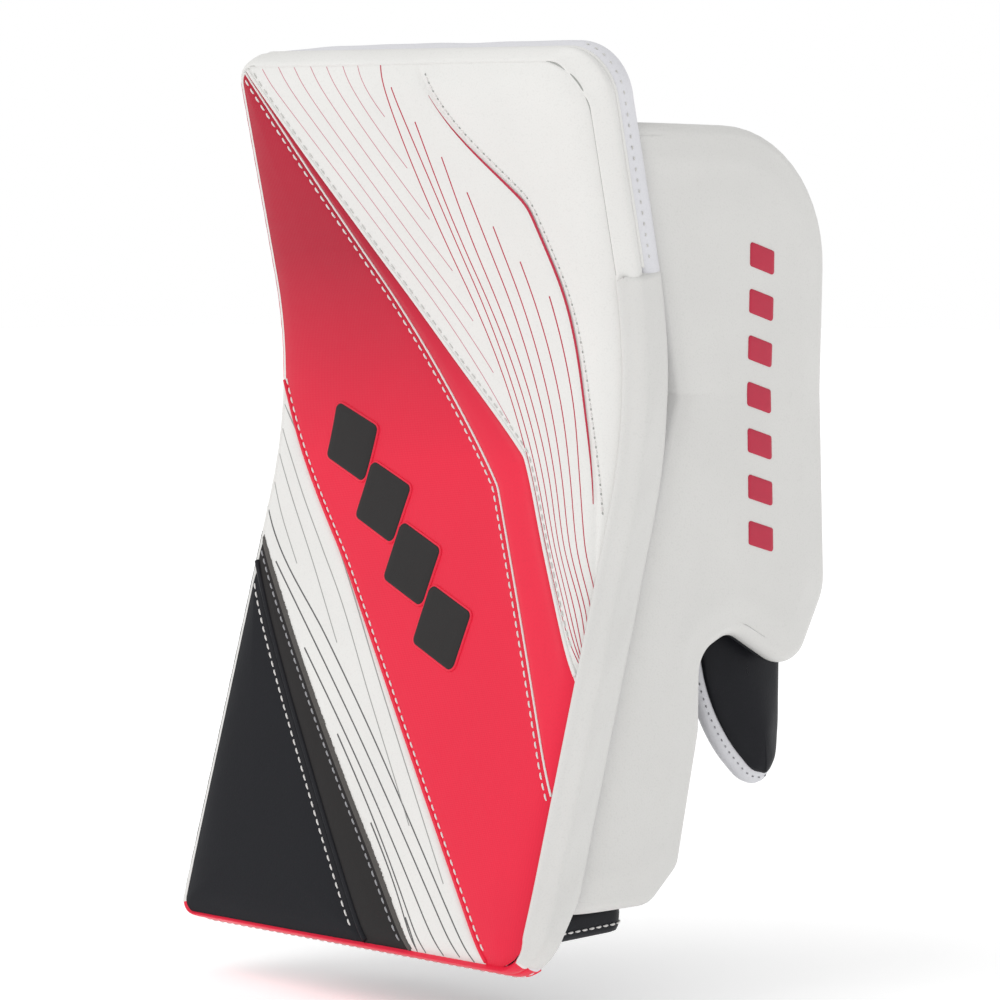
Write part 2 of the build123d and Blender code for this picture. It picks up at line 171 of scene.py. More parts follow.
def board_point(x, s, h):
    """Points of the board: two planes joined by an arc of BEND_RADIUS, all offset by h."""
    x, s, h = np.broadcast_arrays(np.asarray(x, float), s, h)
    angle = normal_angle(s)
    centre = upper(BEND_S, -BEND_RADIUS)
    past_up, past_low = np.maximum(s - BEND_S, 0), np.maximum(-s - BEND_S, 0)
    reach = BEND_RADIUS + h
    y = centre[0] + reach * np.cos(angle) - past_up * sin(UP_ANGLE) - past_low * sin(LOW_ANGLE)
    z = centre[1] + reach * np.sin(angle) + past_up * cos(UP_ANGLE) - past_low * cos(LOW_ANGLE)
    return np.stack([x, y, z], -1)


def board_normal(s):
    """The unit normal out of the face."""
    angle = normal_angle(np.asarray(s, float))
    return np.stack([np.zeros_like(angle), -np.cos(angle), -np.sin(angle)], -1)


S_TABLE = np.linspace(-260, 170, 2000)
Z_TABLE = board_point(0, S_TABLE, 0)[:, 2]


def s_of(z):
    """The place along the face at a height."""
    return np.interp(z, Z_TABLE, S_TABLE)


def depth_y(z, depth):
    """The y of the board's surface at a depth, at height z."""
    line = board_point(0, S_TABLE, depth)
    return np.interp(z, line[:, 2], line[:, 1])


# ---------------------------------------------------------------- curves and grids

def smooth_run(points, step=0.7):
    """A curve through points: cubic pieces whose slope at a point joins its two neighbours."""
    p = np.asarray(points, float)
    gaps = np.linalg.norm(np.diff(p, axis=0), axis=1)
    at = np.concatenate([[0], np.cumsum(gaps)])
    slope = np.gradient(p, at, axis=0) if len(p) > 2 else np.tile((p[1] - p[0]) / gaps[0], (2, 1))
    t = np.linspace(0, at[-1], max(int(at[-1] / step), 4))
    i = np.clip(np.searchsorted(at, t, side="right") - 1, 0, len(p) - 2)
    w = gaps[i]
    u = ((t - at[i]) / w)[:, None]
    w = w[:, None]
    return ((2 * u**3 - 3 * u**2 + 1) * p[i] + (u**3 - 2 * u**2 + u) * w * slope[i]
            + (3 * u**2 - 2 * u**3) * p[i + 1] + (u**3 - u**2) * w * slope[i + 1])


def resample(line, step, closed=False):
    """The same line with evenly spaced points."""
    line = np.vstack([line, line[:1]]) if closed else line
    at = length_along(line)
    count = max(int(round(at[-1] / step)), 2)
    out = along_line(np.linspace(0, at[-1], count + 1), at, line)
    return out[:-1] if closed else out


def rounded_loop(corners, step=1.5):
    """A closed outline: straight sides joined by an arc of each corner's own radius."""
    points = np.array([c for c, _ in corners], float)
    parts = []
    for i, (_, radius) in enumerate(corners):
        here, before, after = points[i], points[i - 1], points[(i + 1) % len(points)]
        if radius == 0:
            parts.append(here[None])
            continue
        a, b = [(q - here) / np.linalg.norm(q - here) for q in (before, after)]
        half = np.arccos(np.clip(a @ b, -1, 1)) / 2
        middle_way = (a + b) / np.linalg.norm(a + b)
        centre = here + middle_way * radius / sin(half)
        first, last = here + a * radius / tan(half), here + b * radius / tan(half)
        turn = np.linspace(0, 1, 14)[:, None]
        span = pi - 2 * half
        arc = (np.sin((1 - turn) * span) * (first - centre) + np.sin(turn * span) * (last - centre))
        parts.append(centre + arc / sin(span))
    return resample(np.vstack(parts), step, closed=True)


def inward(loop):
    """Unit normals of a closed outline that point into it."""
    along = np.roll(loop, -1, 0) - np.roll(loop, 1, 0)
    along /= np.linalg.norm(along, axis=1)[:, None]
    side = np.stack([-along[:, 1], along[:, 0]], -1)
    x, y = loop.T
    area = np.sum(x * np.roll(y, -1) - np.roll(x, -1) * y)
    return side if area > 0 else -side


def directions(line, small=0.0):
    """Unit vectors along a line at each of its points."""
    way = np.gradient(line, axis=0)
    return way / (np.linalg.norm(way, axis=1)[:, None] + small)


def length_along(line):
    """The distance from a line's start to each of its points."""
    return np.concatenate([[0], np.cumsum(np.linalg.norm(np.diff(line, axis=0), axis=1))])


def along_line(t, at, line):
    """The line's places at distances t, where its points lie at distances at."""
    return np.stack([np.interp(t, at, column) for column in line.T], -1)


def run_of(part):
    """The indices of the marked points of a closed outline, in order from where they start."""
    start = np.flatnonzero(part & ~np.roll(part, 1))
    return np.roll(np.arange(len(part)), -start[0] if len(start) else 0)[:int(part.sum())]


def distance(points, line):
    """The distance of each point from a densely drawn line."""
    flat = points.reshape(-1, 2)
    out = np.full(len(flat), 1e9)
    for start in range(0, len(line), 200):
        part = line[start:start + 200]
        gap = ((flat[:, None, :] - part[None]) ** 2).sum(-1).min(1)
        out = np.minimum(out, gap)
    return np.sqrt(out).reshape(points.shape[:-1])


def grid_faces(rows, columns, closed=False):
    """Quads over a grid of rows by columns; closed joins the last column to the first."""
    index = np.arange(rows * columns).reshape(rows, columns)
    right = np.roll(index, -1, 1)
    quads = np.stack([index[:-1], right[:-1], right[1:], index[1:]], -1)
    return (quads if closed else quads[:, :-1]).reshape(-1, 4)


def add_mesh(name, points, faces, finish, body, stands_for=(), outward=True, merge=0.02):
    """Puts arrays of points (mm, board frame) and quads into a mesh that rides on a body."""
    import bmesh

    points = (np.asarray(points, float).reshape(-1, 3) - ROW_ORIGIN) * MM
    mesh = bpy.data.meshes.new(name)
    mesh.from_pydata(points.tolist(), [], np.asarray(faces).tolist())
    work = bmesh.new()
    work.from_mesh(mesh)
    if merge:
        bmesh.ops.remove_doubles(work, verts=work.verts, dist=merge * MM)
    bmesh.ops.dissolve_degenerate(work, edges=work.edges, dist=1e-7)
    if outward:
        bmesh.ops.recalc_face_normals(work, faces=work.faces)
    work.to_mesh(mesh)
    work.free()
    mesh.shade_smooth()
    piece = bpy.data.objects.new(name, mesh)
    bpy.context.scene.collection.objects.link(piece)
    mesh.materials.append(FINISHES[finish])
    if body is not None:
        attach(piece, body)
    if stands_for:
        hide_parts(*stands_for)
    return piece


def joined(parts):
    """Several (points, faces) as one."""
    points, faces, count = [], [], 0
    for p, f in parts:
        p = np.asarray(p).reshape(-1, 3)
        points.append(p)
        faces.append(np.asarray(f) + count)
        count += len(p)
    return np.vstack(points), np.vstack(faces)


def flip_to(points, faces, way):
    """Turns the quads so that their first large face looks along way."""
    p = points[faces]
    normal = np.cross(p[:, 2] - p[:, 0], p[:, 3] - p[:, 1])
    return faces if (normal @ np.asarray(way, float)).sum() > 0 else faces[:, ::-1]


def section_tube(path, normals, radius, sides=8):
    """A round bar: circles of one radius carried along a path, closed at its ends."""
    across = np.cross(directions(path, 1e-9), normals)
    across /= np.linalg.norm(across, axis=1)[:, None] + 1e-9
    turn = np.linspace(0, 2 * pi, sides, endpoint=False)
    ring = (np.cos(turn)[None, :, None] * across[:, None] + np.sin(turn)[None, :, None]
            * normals[:, None])
    points = path[:, None] + radius * ring
    points = np.concatenate([np.tile(path[:1, None], (1, sides, 1)), points,
                             np.tile(path[-1:, None], (1, sides, 1))])
    return points.reshape(-1, 3), grid_faces(len(points), sides, closed=True)


def stitches(path, normals, pitch, length, width):
    """Thread bars: each is a six-sided spindle laid along the path and half sunk in it."""
    at = length_along(path)
    where = np.arange(pitch / 2, at[-1] - length / 2, pitch)
    if len(where) == 0:
        return np.zeros((0, 3)), np.zeros((0, 4), int)
    middle, ahead = along_line(where, at, path), along_line(where + 0.5, at, path)
    up = along_line(where, at, normals)
    along = ahead - middle
    along /= np.linalg.norm(along, axis=1)[:, None] + 1e-9
    up /= np.linalg.norm(up, axis=1)[:, None]
    across = np.cross(along, up)
    stations = np.array([-0.5, -0.38, -0.12, 0.12, 0.38, 0.5]) * length
    radii = np.array([0.08, 0.75, 1.0, 1.0, 0.75, 0.08]) * width / 2
    lift = np.array([-0.7, 0.05, 0.35, 0.35, 0.05, -0.7]) * width / 2
    turn = np.linspace(0, 2 * pi, 6, endpoint=False)
    a = np.repeat(stations, 6)
    b = np.outer(radii, np.cos(turn)).ravel()
    c = (np.outer(radii, np.sin(turn)) + lift[:, None]).ravel()
    points = (middle[:, None] + a[None, :, None] * along[:, None] + b[None, :, None]
              * across[:, None] + c[None, :, None] * up[:, None])
    single = grid_faces(6, 6, closed=True)
    faces = (single[None] + (np.arange(len(where)) * 36)[:, None, None]).reshape(-1, 4)
    return points.reshape(-1, 3), faces


def ribbon(centre, side, up, width, height=0.16):
    """A printed line: a strip with a low ridge down its middle."""
    width = np.broadcast_to(np.asarray(width, float), (len(centre),))[:, None]
    edge = -0.05 * up
    points = np.stack([centre - side * width / 2 + edge, centre + up * height,
                       centre + side * width / 2 + edge], 1)
    return points.reshape(-1, 3), grid_faces(len(centre), 3)


def cushion(loop, spine, stations, crown, place, foot_crown=None, fill=14):
    """A pad: the outline carried round an edge profile, then drawn in to a spine.

    stations are (inset, height) across the edge. From the last one the surface runs to the
    nearest place of the spine and rises by crown, as a quarter sine of the way in. With
    foot_crown the first station runs in to the spine too, so that the pad is closed."""
    normals = inward(loop)
    dense = resample(np.asarray(spine, float), 2.0)
    gap = ((loop[:, None] - dense[None]) ** 2).sum(-1)
    near = gap.argmin(1).astype(float)
    kernel = np.hanning(21)
    kernel /= kernel.sum()
    near = np.convolve(np.concatenate([near[-10:], near, near[:10]]), kernel, "valid")
    target = along_line(near, np.arange(len(dense)), dense)
    rows = [(loop + normals * np.broadcast_to(inset, len(loop))[:, None],
             np.full(len(loop), float(height))) for inset, height in stations]
    way = np.sin(np.linspace(0, 1, fill + 1)[1:] * pi / 2)
    edge, level = rows[-1]
    top = [(edge + (target - edge) * t, level + crown * np.sin(t * pi / 2)) for t in way]
    foot = []
    if foot_crown is not None:
        edge, level = rows[0]
        foot = [(edge + (target - edge) * t, level + foot_crown * np.sin(t * pi / 2))
                for t in way][::-1]
    rows = foot + rows + top
    flat = np.stack([place(p[:, 0], p[:, 1], w) for p, w in rows])
    return flat.reshape(-1, 3), grid_faces(len(rows), len(loop), closed=True)


def loft(sections, closed_start=False, closed_end=False):
    """A tube through closed loops of equal count, with its ends drawn to a point if asked."""
    loops = list(sections)
    if closed_start:
        loops.insert(0, np.tile(loops[0].mean(0), (len(loops[0]), 1)))
    if closed_end:
        loops.append(np.tile(loops[-1].mean(0), (len(loops[-1]), 1)))
    grid = np.stack(loops)
    return grid.reshape(-1, 3), grid_faces(len(loops), grid.shape[1], closed=True)


def squircle(count, half_x, half_y, power):
    """A closed loop with |x/a|^p + |y/b|^p = 1, evenly spaced."""
    turn = np.linspace(0, 2 * pi, 400, endpoint=False)
    c, s = np.cos(turn), np.sin(turn)
    line = np.stack([half_x * np.sign(c) * np.abs(c) ** (2 / power),
                     half_y * np.sign(s) * np.abs(s) ** (2 / power)], -1)
    whole = np.vstack([line, line[:1]])
    at = length_along(whole)
    return along_line(np.linspace(0, at[-1], count, endpoint=False), at, whole)


# ---------------------------------------------------------------- the face

CORNER_SOFTNESS = {"lined_edge": 9.0, "red_edge": 3.0, "trim_edge": 3.0}
LINES = {}


def seam_line(name):
    """A seam of the face as (x, s), drawn smooth run by run, with its corners eased."""
    if name not in LINES:
        line = resample(np.vstack([smooth_run(run) for run in SEAMS[name]]), 0.7)
        reach = int(CORNER_SOFTNESS.get(name, 0) / 0.7)
        if reach:
            kernel = np.hanning(2 * reach + 3)
            kernel /= kernel.sum()
            pad = len(kernel) // 2
            ahead = line[0] - (line[1] - line[0]) * np.arange(pad, 0, -1)[:, None]
            after = line[-1] + (line[-1] - line[-2]) * np.arange(1, pad + 1)[:, None]
            whole = np.vstack([ahead, line, after])
            line = np.stack([np.convolve(whole[:, k], kernel, "valid") for k in (0, 1)], -1)
        LINES[name] = on_face(line)
    return LINES[name]


def on_face(line):
    """Places (x, z) of the face as (x, s)."""
    return np.stack([line[:, 0], s_of(line[:, 1])], -1)


def board_loop(inset, step=1.5):
    """The board's outline drawn in by inset, as (x, s)."""
    w = HALF_WIDTH - inset
    slant = TOP_SLANT * w
    top = UP_LENGTH - inset
    foot = -LOW_LENGTH + inset
    corners = (((-w, top + slant), max(9 - inset, 1)), ((w, top - slant), max(20 - inset, 1)),
               ((w, foot), max(15 - inset, 1)), ((-w, foot), max(7 - inset, 1)))
    return rounded_loop(corners, step)


def edge_x(loop, level, side):
    """The outline's x at each level on its left (-1) or right (+1) side, where rows cross it."""
    level = np.atleast_1d(level)
    a, b = loop, np.roll(loop, -1, 0)
    rise = b[:, 1] - a[:, 1]
    share = (level[:, None] - a[None, :, 1]) / np.where(np.abs(rise) < 1e-9, 1e-9, rise)[None]
    x = a[None, :, 0] + share * (b - a)[None, :, 0]
    cross = (share >= 0) & (share <= 1)
    if side > 0:
        return np.where(cross, x, -1e9).max(1)
    return np.where(cross, x, 1e9).min(1)


def to_row(points):
    """(x, s) to (x, v): v is even along the board's slanted wrist end."""
    x, s = points[..., 0], points[..., 1]
    lean = np.where(s > 0, 1 - TOP_SLANT * x / UP_LENGTH, 1.0)
    return np.stack([x, s / lean], -1)


def from_row(x, v):
    """s at (x, v)."""
    return np.where(v > 0, v * (1 - TOP_SLANT * x / UP_LENGTH), v)


FACE_SIDES = (101.5, 95.2)
FACE_END = 137.3


def face_loop(step):
    """The rim of the sewn face: it reaches over the left side and stops short on the right."""
    left, right = FACE_SIDES
    foot = -LOW_LENGTH + 1.0
    corners = (((-left, FACE_END + TOP_SLANT * left), 9), ((right, FACE_END - TOP_SLANT * right), 24),
               ((right, foot), 14), ((-left, foot), 6))
    return rounded_loop(corners, step)


def smooth(t):
    """A smooth step from 0 to 1."""
    t = np.clip(t, 0, 1)
    return t * t * (3 - 2 * t)


# the share of its depth that the board loses at its finger end, where that starts, and over what
THINNING = 0.36
THIN_FROM = -196
THIN_OVER = 36


def squeeze(s):
    """The board thins toward its finger end: the depth's factor at s."""
    return 1 - THINNING * smooth((THIN_FROM - np.asarray(s, float)) / THIN_OVER)


class FaceHeight:
    """How far a panel's skin stands out of the face.

    It sinks by dip at its seams and by roll at the board's rim, and swells by puff between,
    each dying away with the distance from the seam or rim."""

    def __init__(self, seams, puff, spread=11.0, dip=1.2, roll=3.6):
        self.lines = [seam_line(name) for name in seams if not name.startswith("far_")]
        self.loop = face_loop(1.0)
        self.puff, self.spread, self.dip, self.roll = puff, spread, dip, roll

    def __call__(self, x, s):
        at = np.stack(np.broadcast_arrays(x, s), -1).astype(float)
        rim = distance(at, self.loop)
        seam = np.full(at.shape[:-1], 1e9)
        for line in self.lines:
            seam = np.minimum(seam, distance(at, line))
        body = self.puff * (1 - np.exp(-np.minimum(seam, rim) / self.spread))
        body -= self.dip * np.exp(-((seam / 1.6) ** 1.3))
        wave = 0.25 * np.sin(at[..., 1] / 19 + at[..., 0] / 31) * np.sin(at[..., 0] / 23 + 1.7)
        near_rim = np.exp(-((rim / 4.2) ** 1.15))
        fade = 1 - np.exp(-np.minimum(seam, rim) / 6)
        roll = self.roll * (0.68 + 0.32 * np.tanh(at[..., 0] / 40))
        return -roll * near_rim + (1 - near_rim) * (body + wave * fade)


PUFFS = {
    "face_panel_black": 1.0, "face_panel_charcoal": 0.5, "face_panel_striped": 0.9,
    "face_panel_red": 1.2, "face_trim_red": 1.0, "face_panel_lined": 1.2,
    "face_panel_white": 1.9,
}
HEIGHTS = {}


def face_height(name):
    """The height function of one panel, made once."""
    if name not in HEIGHTS:
        left, right, _ = PANELS[name]
        HEIGHTS[name] = FaceHeight((left, right), PUFFS[name])
    return HEIGHTS[name]


def panel_grid(name, row_step=1.1, columns=46):
    """A panel as rows across it from its left seam to its right one, cut at the outline."""
    left, right, _ = PANELS[name]
    loop = to_row(face_loop(0.5))
    low, high = loop[:, 1].min(), loop[:, 1].max()
    v = np.arange(low, high, row_step)
    ends = np.array([0.003, 0.12, 0.35, 0.7])
    v = np.unique(np.concatenate([v[1:], low + ends, high - ends]))
    sides = []
    for seam, far in ((left, -130.0), (right, 130.0)):
        line = to_row(seam_line(seam))
        order = np.argsort(line[:, 1])
        x = np.interp(v, line[order, 1], line[order, 0], left=130.0, right=-130.0)
        x = np.full_like(v, far) if seam.startswith("far_") else x
        sides.append(np.clip(x, edge_x(loop, v, -1), edge_x(loop, v, 1)))
    keep = sides[1] - sides[0] > 0.02
    first, last = np.flatnonzero(keep)[[0, -1]]
    rows = slice(max(first - 1, 0), min(last + 2, len(v)))
    near, far, v = sides[0][rows], sides[1][rows], v[rows]
    t = np.linspace(0, 1, columns)
    t = t - 0.11 * np.sin(2 * pi * t)
    x = near[:, None] + (far - near)[:, None] * t[None]
    return x, from_row(x, np.broadcast_to(v[:, None], x.shape))


def on_panel(name, line, lift=0.0):
    """Places and normals of a line of (x, s) on a panel's skin."""
    height = face_height(name)(line[:, 0], line[:, 1])
    up = board_normal(line[:, 1])
    return board_point(line[:, 0], line[:, 1], -(height + lift)), up


def inside_face(line, margin):
    """The longest stretch of a line that lies inside the outline by a margin."""
    loop, rows = to_row(face_loop(0.7)), to_row(line)
    left, right = edge_x(loop, rows[:, 1], -1), edge_x(loop, rows[:, 1], 1)
    low, high = loop[:, 1].min(), loop[:, 1].max()
    ok = ((line[:, 0] > left + margin) & (line[:, 0] < right - margin)
          & (rows[:, 1] > low + margin) & (rows[:, 1] < high - margin))
    if not ok.any():
        return line[:0]
    edges = np.flatnonzero(np.diff(np.concatenate([[0], ok.astype(int), [0]])))
    runs = edges.reshape(-1, 2)
    a, b = runs[np.argmax(runs[:, 1] - runs[:, 0])]
    return line[a:b]


def beside(line, gap):
    """A line moved sideways by gap, to the right of its way down the face."""
    way = directions(line, 1e-9)
    return line + gap * np.stack([-way[:, 1], way[:, 0]], -1)


def make_face_panels():
    """The seven sewn panels."""
    for name, (_, _, finish) in PANELS.items():
        x, s = panel_grid(name)
        points = board_point(x, s, -face_height(name)(x, s))
        faces = grid_faces(*x.shape)
        faces = flip_to(points.reshape(-1, 3), faces, (0, -1, 0))
        piece = add_mesh(f"skin_{name}", points, faces, finish, "blocker", (name,), outward=False)


STITCH_ROWS = {
    # seam, gap to its right, panel it lies on, finish
    "black_edge_stitches": ("black_edge", -3.0, "face_panel_black", "thread_white"),
    "red_edge_stitches": ("stripe_edge", 2.6, "face_panel_red", "thread_white"),
    "red_side_stitches": ("red_edge", -1.9, "face_panel_red", "thread_white"),
    "lined_edge_stitches": ("trim_edge", 3.2, "face_panel_lined", "thread_shade"),
    "charcoal_edge_stitches": ("charcoal_edge", -2.8, "face_panel_charcoal", "thread_grey"),
}


def thread_sizes():
    """Pitch, stitch length and thread thickness of the sewing, in millimetres."""
    sizes = bpy.context.scene.blocker_sewing
    return [v / MM for v in (sizes.pitch, sizes.length, sizes.thread)]


def make_face_stitches():
    """Rows of thread beside the seams."""
    pitch, length, width = thread_sizes()
    for name, (seam, gap, panel, finish) in STITCH_ROWS.items():
        line = resample(inside_face(beside(seam_line(seam), gap), 2.5), 1.0)
        path, up = on_panel(panel, line)
        points, faces = stitches(path, up, pitch, length, width)
        add_mesh(name, points, faces, finish, "blocker", merge=0)


def make_needle_holes():
    """A row of needle holes with a short thread in each, beside the lined panel."""
    line = resample(inside_face(beside(seam_line("lined_edge"), 3.4), 2.5), 1.0)
    path, up = on_panel("face_panel_white", line)
    add_mesh("panel_edge_holes", *stitches(path, up, 3.9, 1.2, 0.75), "hole", "blocker", merge=0)
    path, up = on_panel("face_panel_white", beside(line, -0.1)[2:])
    add_mesh("panel_edge_threads", *stitches(path, up, 3.9, 2.2, 0.9), "thread_white",
             "blocker", merge=0)


def make_frayed_edge():
    """The charcoal panel's raw edge: uneven teeth of cut fibre over the striped panel."""
    line = resample(inside_face(seam_line("charcoal_edge"), 0.8), 0.55)
    way = directions(line)
    side = np.stack([-way[:, 1], way[:, 0]], -1)
    rng = np.random.default_rng(7)
    teeth = 0.25 + 0.9 * rng.random(len(line)) ** 2
    swell = 0.5 + 0.5 * np.sin(np.arange(len(line)) / 41.0) ** 2
    near, far = line - side * 1.4, line + side * (0.5 + teeth * swell)[:, None]
    middle = (near + far) / 2
    heights = (0.12, 0.55, 0.1)
    rows = []
    for at, lift in zip((near, middle, far), heights):
        rise = np.maximum(face_height("face_panel_charcoal")(at[:, 0], at[:, 1]),
                          face_height("face_panel_striped")(at[:, 0], at[:, 1]))
        rows.append(board_point(at[:, 0], at[:, 1], -(rise + lift)))
    points = np.stack(rows, 1)
    faces = flip_to(points.reshape(-1, 3), grid_faces(len(line), 3), (0, -1, 0))
    add_mesh("charcoal_raw_edge", points, faces, "fray", "blocker", outward=False, merge=0)


def make_face_piping():
    """Welts and folded edges along the seams."""
    welts = {
        "black_welt": ("black_edge", 0.9, "face_panel_charcoal", "black_leather", 1.35, 0.0),
        "red_panel_welt": ("red_edge", 0.2, "face_panel_red", "thread_white", 0.5, 0.25),
        "lined_panel_fold": ("trim_edge", 0.9, "face_panel_lined", "white_leather", 1.0, 0.1),
        "red_panel_fold": ("stripe_edge", 0.7, "face_panel_red", "red_leather", 0.9, 0.1),
    }
    for name, (seam, gap, panel, finish, radius, lift) in welts.items():
        line = resample(inside_face(beside(seam_line(seam), gap), 1.0), 1.2)
        path, up = on_panel(panel, line, lift)
        points, faces = section_tube(path, up, radius)
        add_mesh(name, points, faces, finish, "blocker")


def printed(name, lines, panel, finish, widths):
    """Printed lines on one panel, as one piece; widths run from a line's start to its end."""
    parts = []
    for line in lines:
        line = resample(inside_face(line, 0.4), 1.0)
        if len(line) < 4:
            continue
        path, up = on_panel(panel, line)
        side = np.cross(directions(path), up)
        width = np.interp(np.linspace(0, 1, len(line)), np.linspace(0, 1, len(widths)), widths)
        parts.append(ribbon(path, side, up, width))
    points, faces = joined(parts)
    faces = flip_to(points, faces, (0, -1, 0))
    add_mesh(name, points, faces, finish, "blocker", outward=False, merge=0)


def bowed(start, end, bow, count=90):
    """A line from start to end, pushed sideways by a half sine of height bow."""
    start, end = np.array(start, float), np.array(end, float)
    t = np.linspace(0, 1, count)[:, None]
    way = (end - start) / np.linalg.norm(end - start)
    side = np.array([-way[1], way[0]])
    line = start + (end - start) * t + side * bow * np.sin(pi * t)
    return on_face(line)


def drawn(points):
    """A smooth line through places (x, z) of the face, as (x, s)."""
    return on_face(smooth_run(points))


def hooked(start, end, way_end, count=80):
    """A line that leaves start straight down and turns to reach end along way_end."""
    p0, p2 = np.array(start, float), np.array(end, float)
    way = np.array(way_end, float) / np.linalg.norm(way_end)
    reach = np.linalg.norm(p2 - p0) * 0.62
    p1 = p2 - way * reach
    t = np.linspace(0, 1, count)[:, None]
    line = (1 - t) ** 2 * p0 + 2 * t * (1 - t) * p1 + t**2 * p2
    return on_face(line)


SWEPT_LINES = (
    ((-15.8, 133.6), (-9, 108), (37.3, -3.9), (51.1, -32.5), (65.8, -59.3), (82.1, -86.5)),
    ((-9.4, 124.5), (0, 98), (40.6, -3.8), (54.3, -32.4), (68.5, -59.2), (84.8, -86.3)),
    ((1.3, 110.2), (9, 84), (44.5, -3.7), (57.6, -32.2), (71.0, -59.0), (86.9, -86.2)),
    ((13.1, 95.6), (20, 71), (48.5, -3.6), (61.1, -32.1), (73.5, -58.9), (89.1, -86.1)),
    ((24.4, 81.1), (53.3, -3.5), (64.5, -32.0), (76.3, -58.8), (91.5, -85.9)),
    ((36.1, 67.2), (58.3, -3.4), (68.3, -31.8), (79.3, -58.6), (93.2, -85.9)),
    ((48.0, 52.9), (64.2, -3.2), (72.8, -31.7), (82.8, -58.4), (95.0, -85.7)),
    ((60.9, 38.8), (70.8, -3.0), (77.7, -31.5), (86.8, -58.2), (97.0, -85.5)),
)
SWEPT_END = (98.6, -112.0)


def make_pinstripes():
    """Red lines on the upper white panel, grey ones on the lower white stripe."""
    tops = [-89.8, -79.4, -69.9, -59.9, -50.3, -40.2, -30.6]
    ends = [(36.9, -13.6), (27.1, 7.1), (17.2, 28.4), (9.1, 49.2), (0.6, 70.4), (-7.5, 91.5),
            (-15.6, 112.7)]
    thin = [hooked((x, 139.0), end, (0.64, -0.77)) for x, end in zip(tops, ends)]
    printed("red_pinstripes_thin", thin, "face_panel_lined", "print_pale", (0.5, 0.5))
    swept = [inside_face(drawn(points + (SWEPT_END,)), 0.4) for points in SWEPT_LINES]
    printed("red_pinstripes_swept", swept, "face_panel_lined", "print_red", (0.85, 0.7, 0.5))
    seam = beside(seam_line("lined_edge"), -1.0)
    seam = seam[(seam[:, 1] < 124) & (seam[:, 1] > -46)]
    printed("red_edge_line", [seam], "face_panel_lined", "print_red",
            (0.05, 1.3, 2.1, 2.1, 1.8, 1.4, 0.5))
    fan = [bowed(a, b, 2.0) for a, b in (
        ((-87.2, -76.2), (72, -231)), ((-58.3, -110.8), (62, -231)), ((-28, -144), (51, -231)),
        ((2, -177), (45, -231)), ((32, -211), (41, -231)))]
    fan.append(drawn(((-101, -53), (-88.3, -68.1), (-46.7, -105.2), (-21.1, -129.5), (79, -231))))
    short = [drawn(points) for points in (
        ((-100.3, -8), (-79.2, -36.3), (-48.3, -72.7), (-5.4, -127.5), (49, -196)),
        ((-100.6, -18.2), (-83.3, -42.4), (-60.9, -68.6), (-45.6, -86), (-13.4, -128.2), (24, -176)),
        ((-101, -28.7), (-88.2, -45.5), (-62.4, -77.4), (-39.2, -107.5)),
        ((-100.8, -41.1), (-87.5, -59.2), (-73.4, -76.6)))]
    printed("grey_pinstripes_fan", fan, "face_panel_striped", "print_grey", (1.0, 0.8))
    printed("grey_pinstripes_short", short, "face_panel_striped", "print_mist", (0.7, 0.6))


# the first bar's place and the step to the next, as (x, z), and a bar's corners about it
BADGE_START = (-52, -24)
BADGE_STEP = (24.5, -24.5)
BADGE_BAR = ((-12, 17.5), (14, 7), (10, -17.5), (-16, -7))


def make_badge():
    """Four raised bars with a red outline cord round each."""
    parts, cords = [], []
    height = face_height("face_panel_red")
    for i in range(4):
        at = np.array(BADGE_START) + i * np.array(BADGE_STEP)
        corners = [(at + corner, 3.0) for corner in BADGE_BAR]
        loop = on_face(rounded_loop(corners, 1.0))
        middle = loop.mean(0)
        spine = np.array([middle + (0, 9), middle - (0, 9)])

        def place(a, b, w):
            return board_point(a, b, -(height(a, b) + w))

        stations = ((0.0, -0.5), (0.05, 0.5), (0.35, 0.95), (1.1, 1.15))
        parts.append(cushion(loop, spine, stations, 0.12, place, fill=6))
        path = place(loop[:, 0], loop[:, 1], np.full(len(loop), 0.0))
        path, up = np.vstack([path, path[:2]]), board_normal(np.append(loop[:, 1], loop[:2, 1]))
        cords.append(section_tube(path, up, 0.75))
    points, faces = joined(parts)
    faces = flip_to(points, faces, (0, -1, 0))
    add_mesh("badge_bars", points, faces, "badge", "blocker", ("face_badge",), outward=False)
    add_mesh("badge_outline", *joined(cords), "red_leather", "blocker")


# ---------------------------------------------------------------- side walls

LIP = {"thumb side": 4.4, "wrist end": 2.0, "corner": 9.0}
LIP_DEPTH = 8.5
CORNER_PULL = 5.0
FOOT_PULL = 0.7


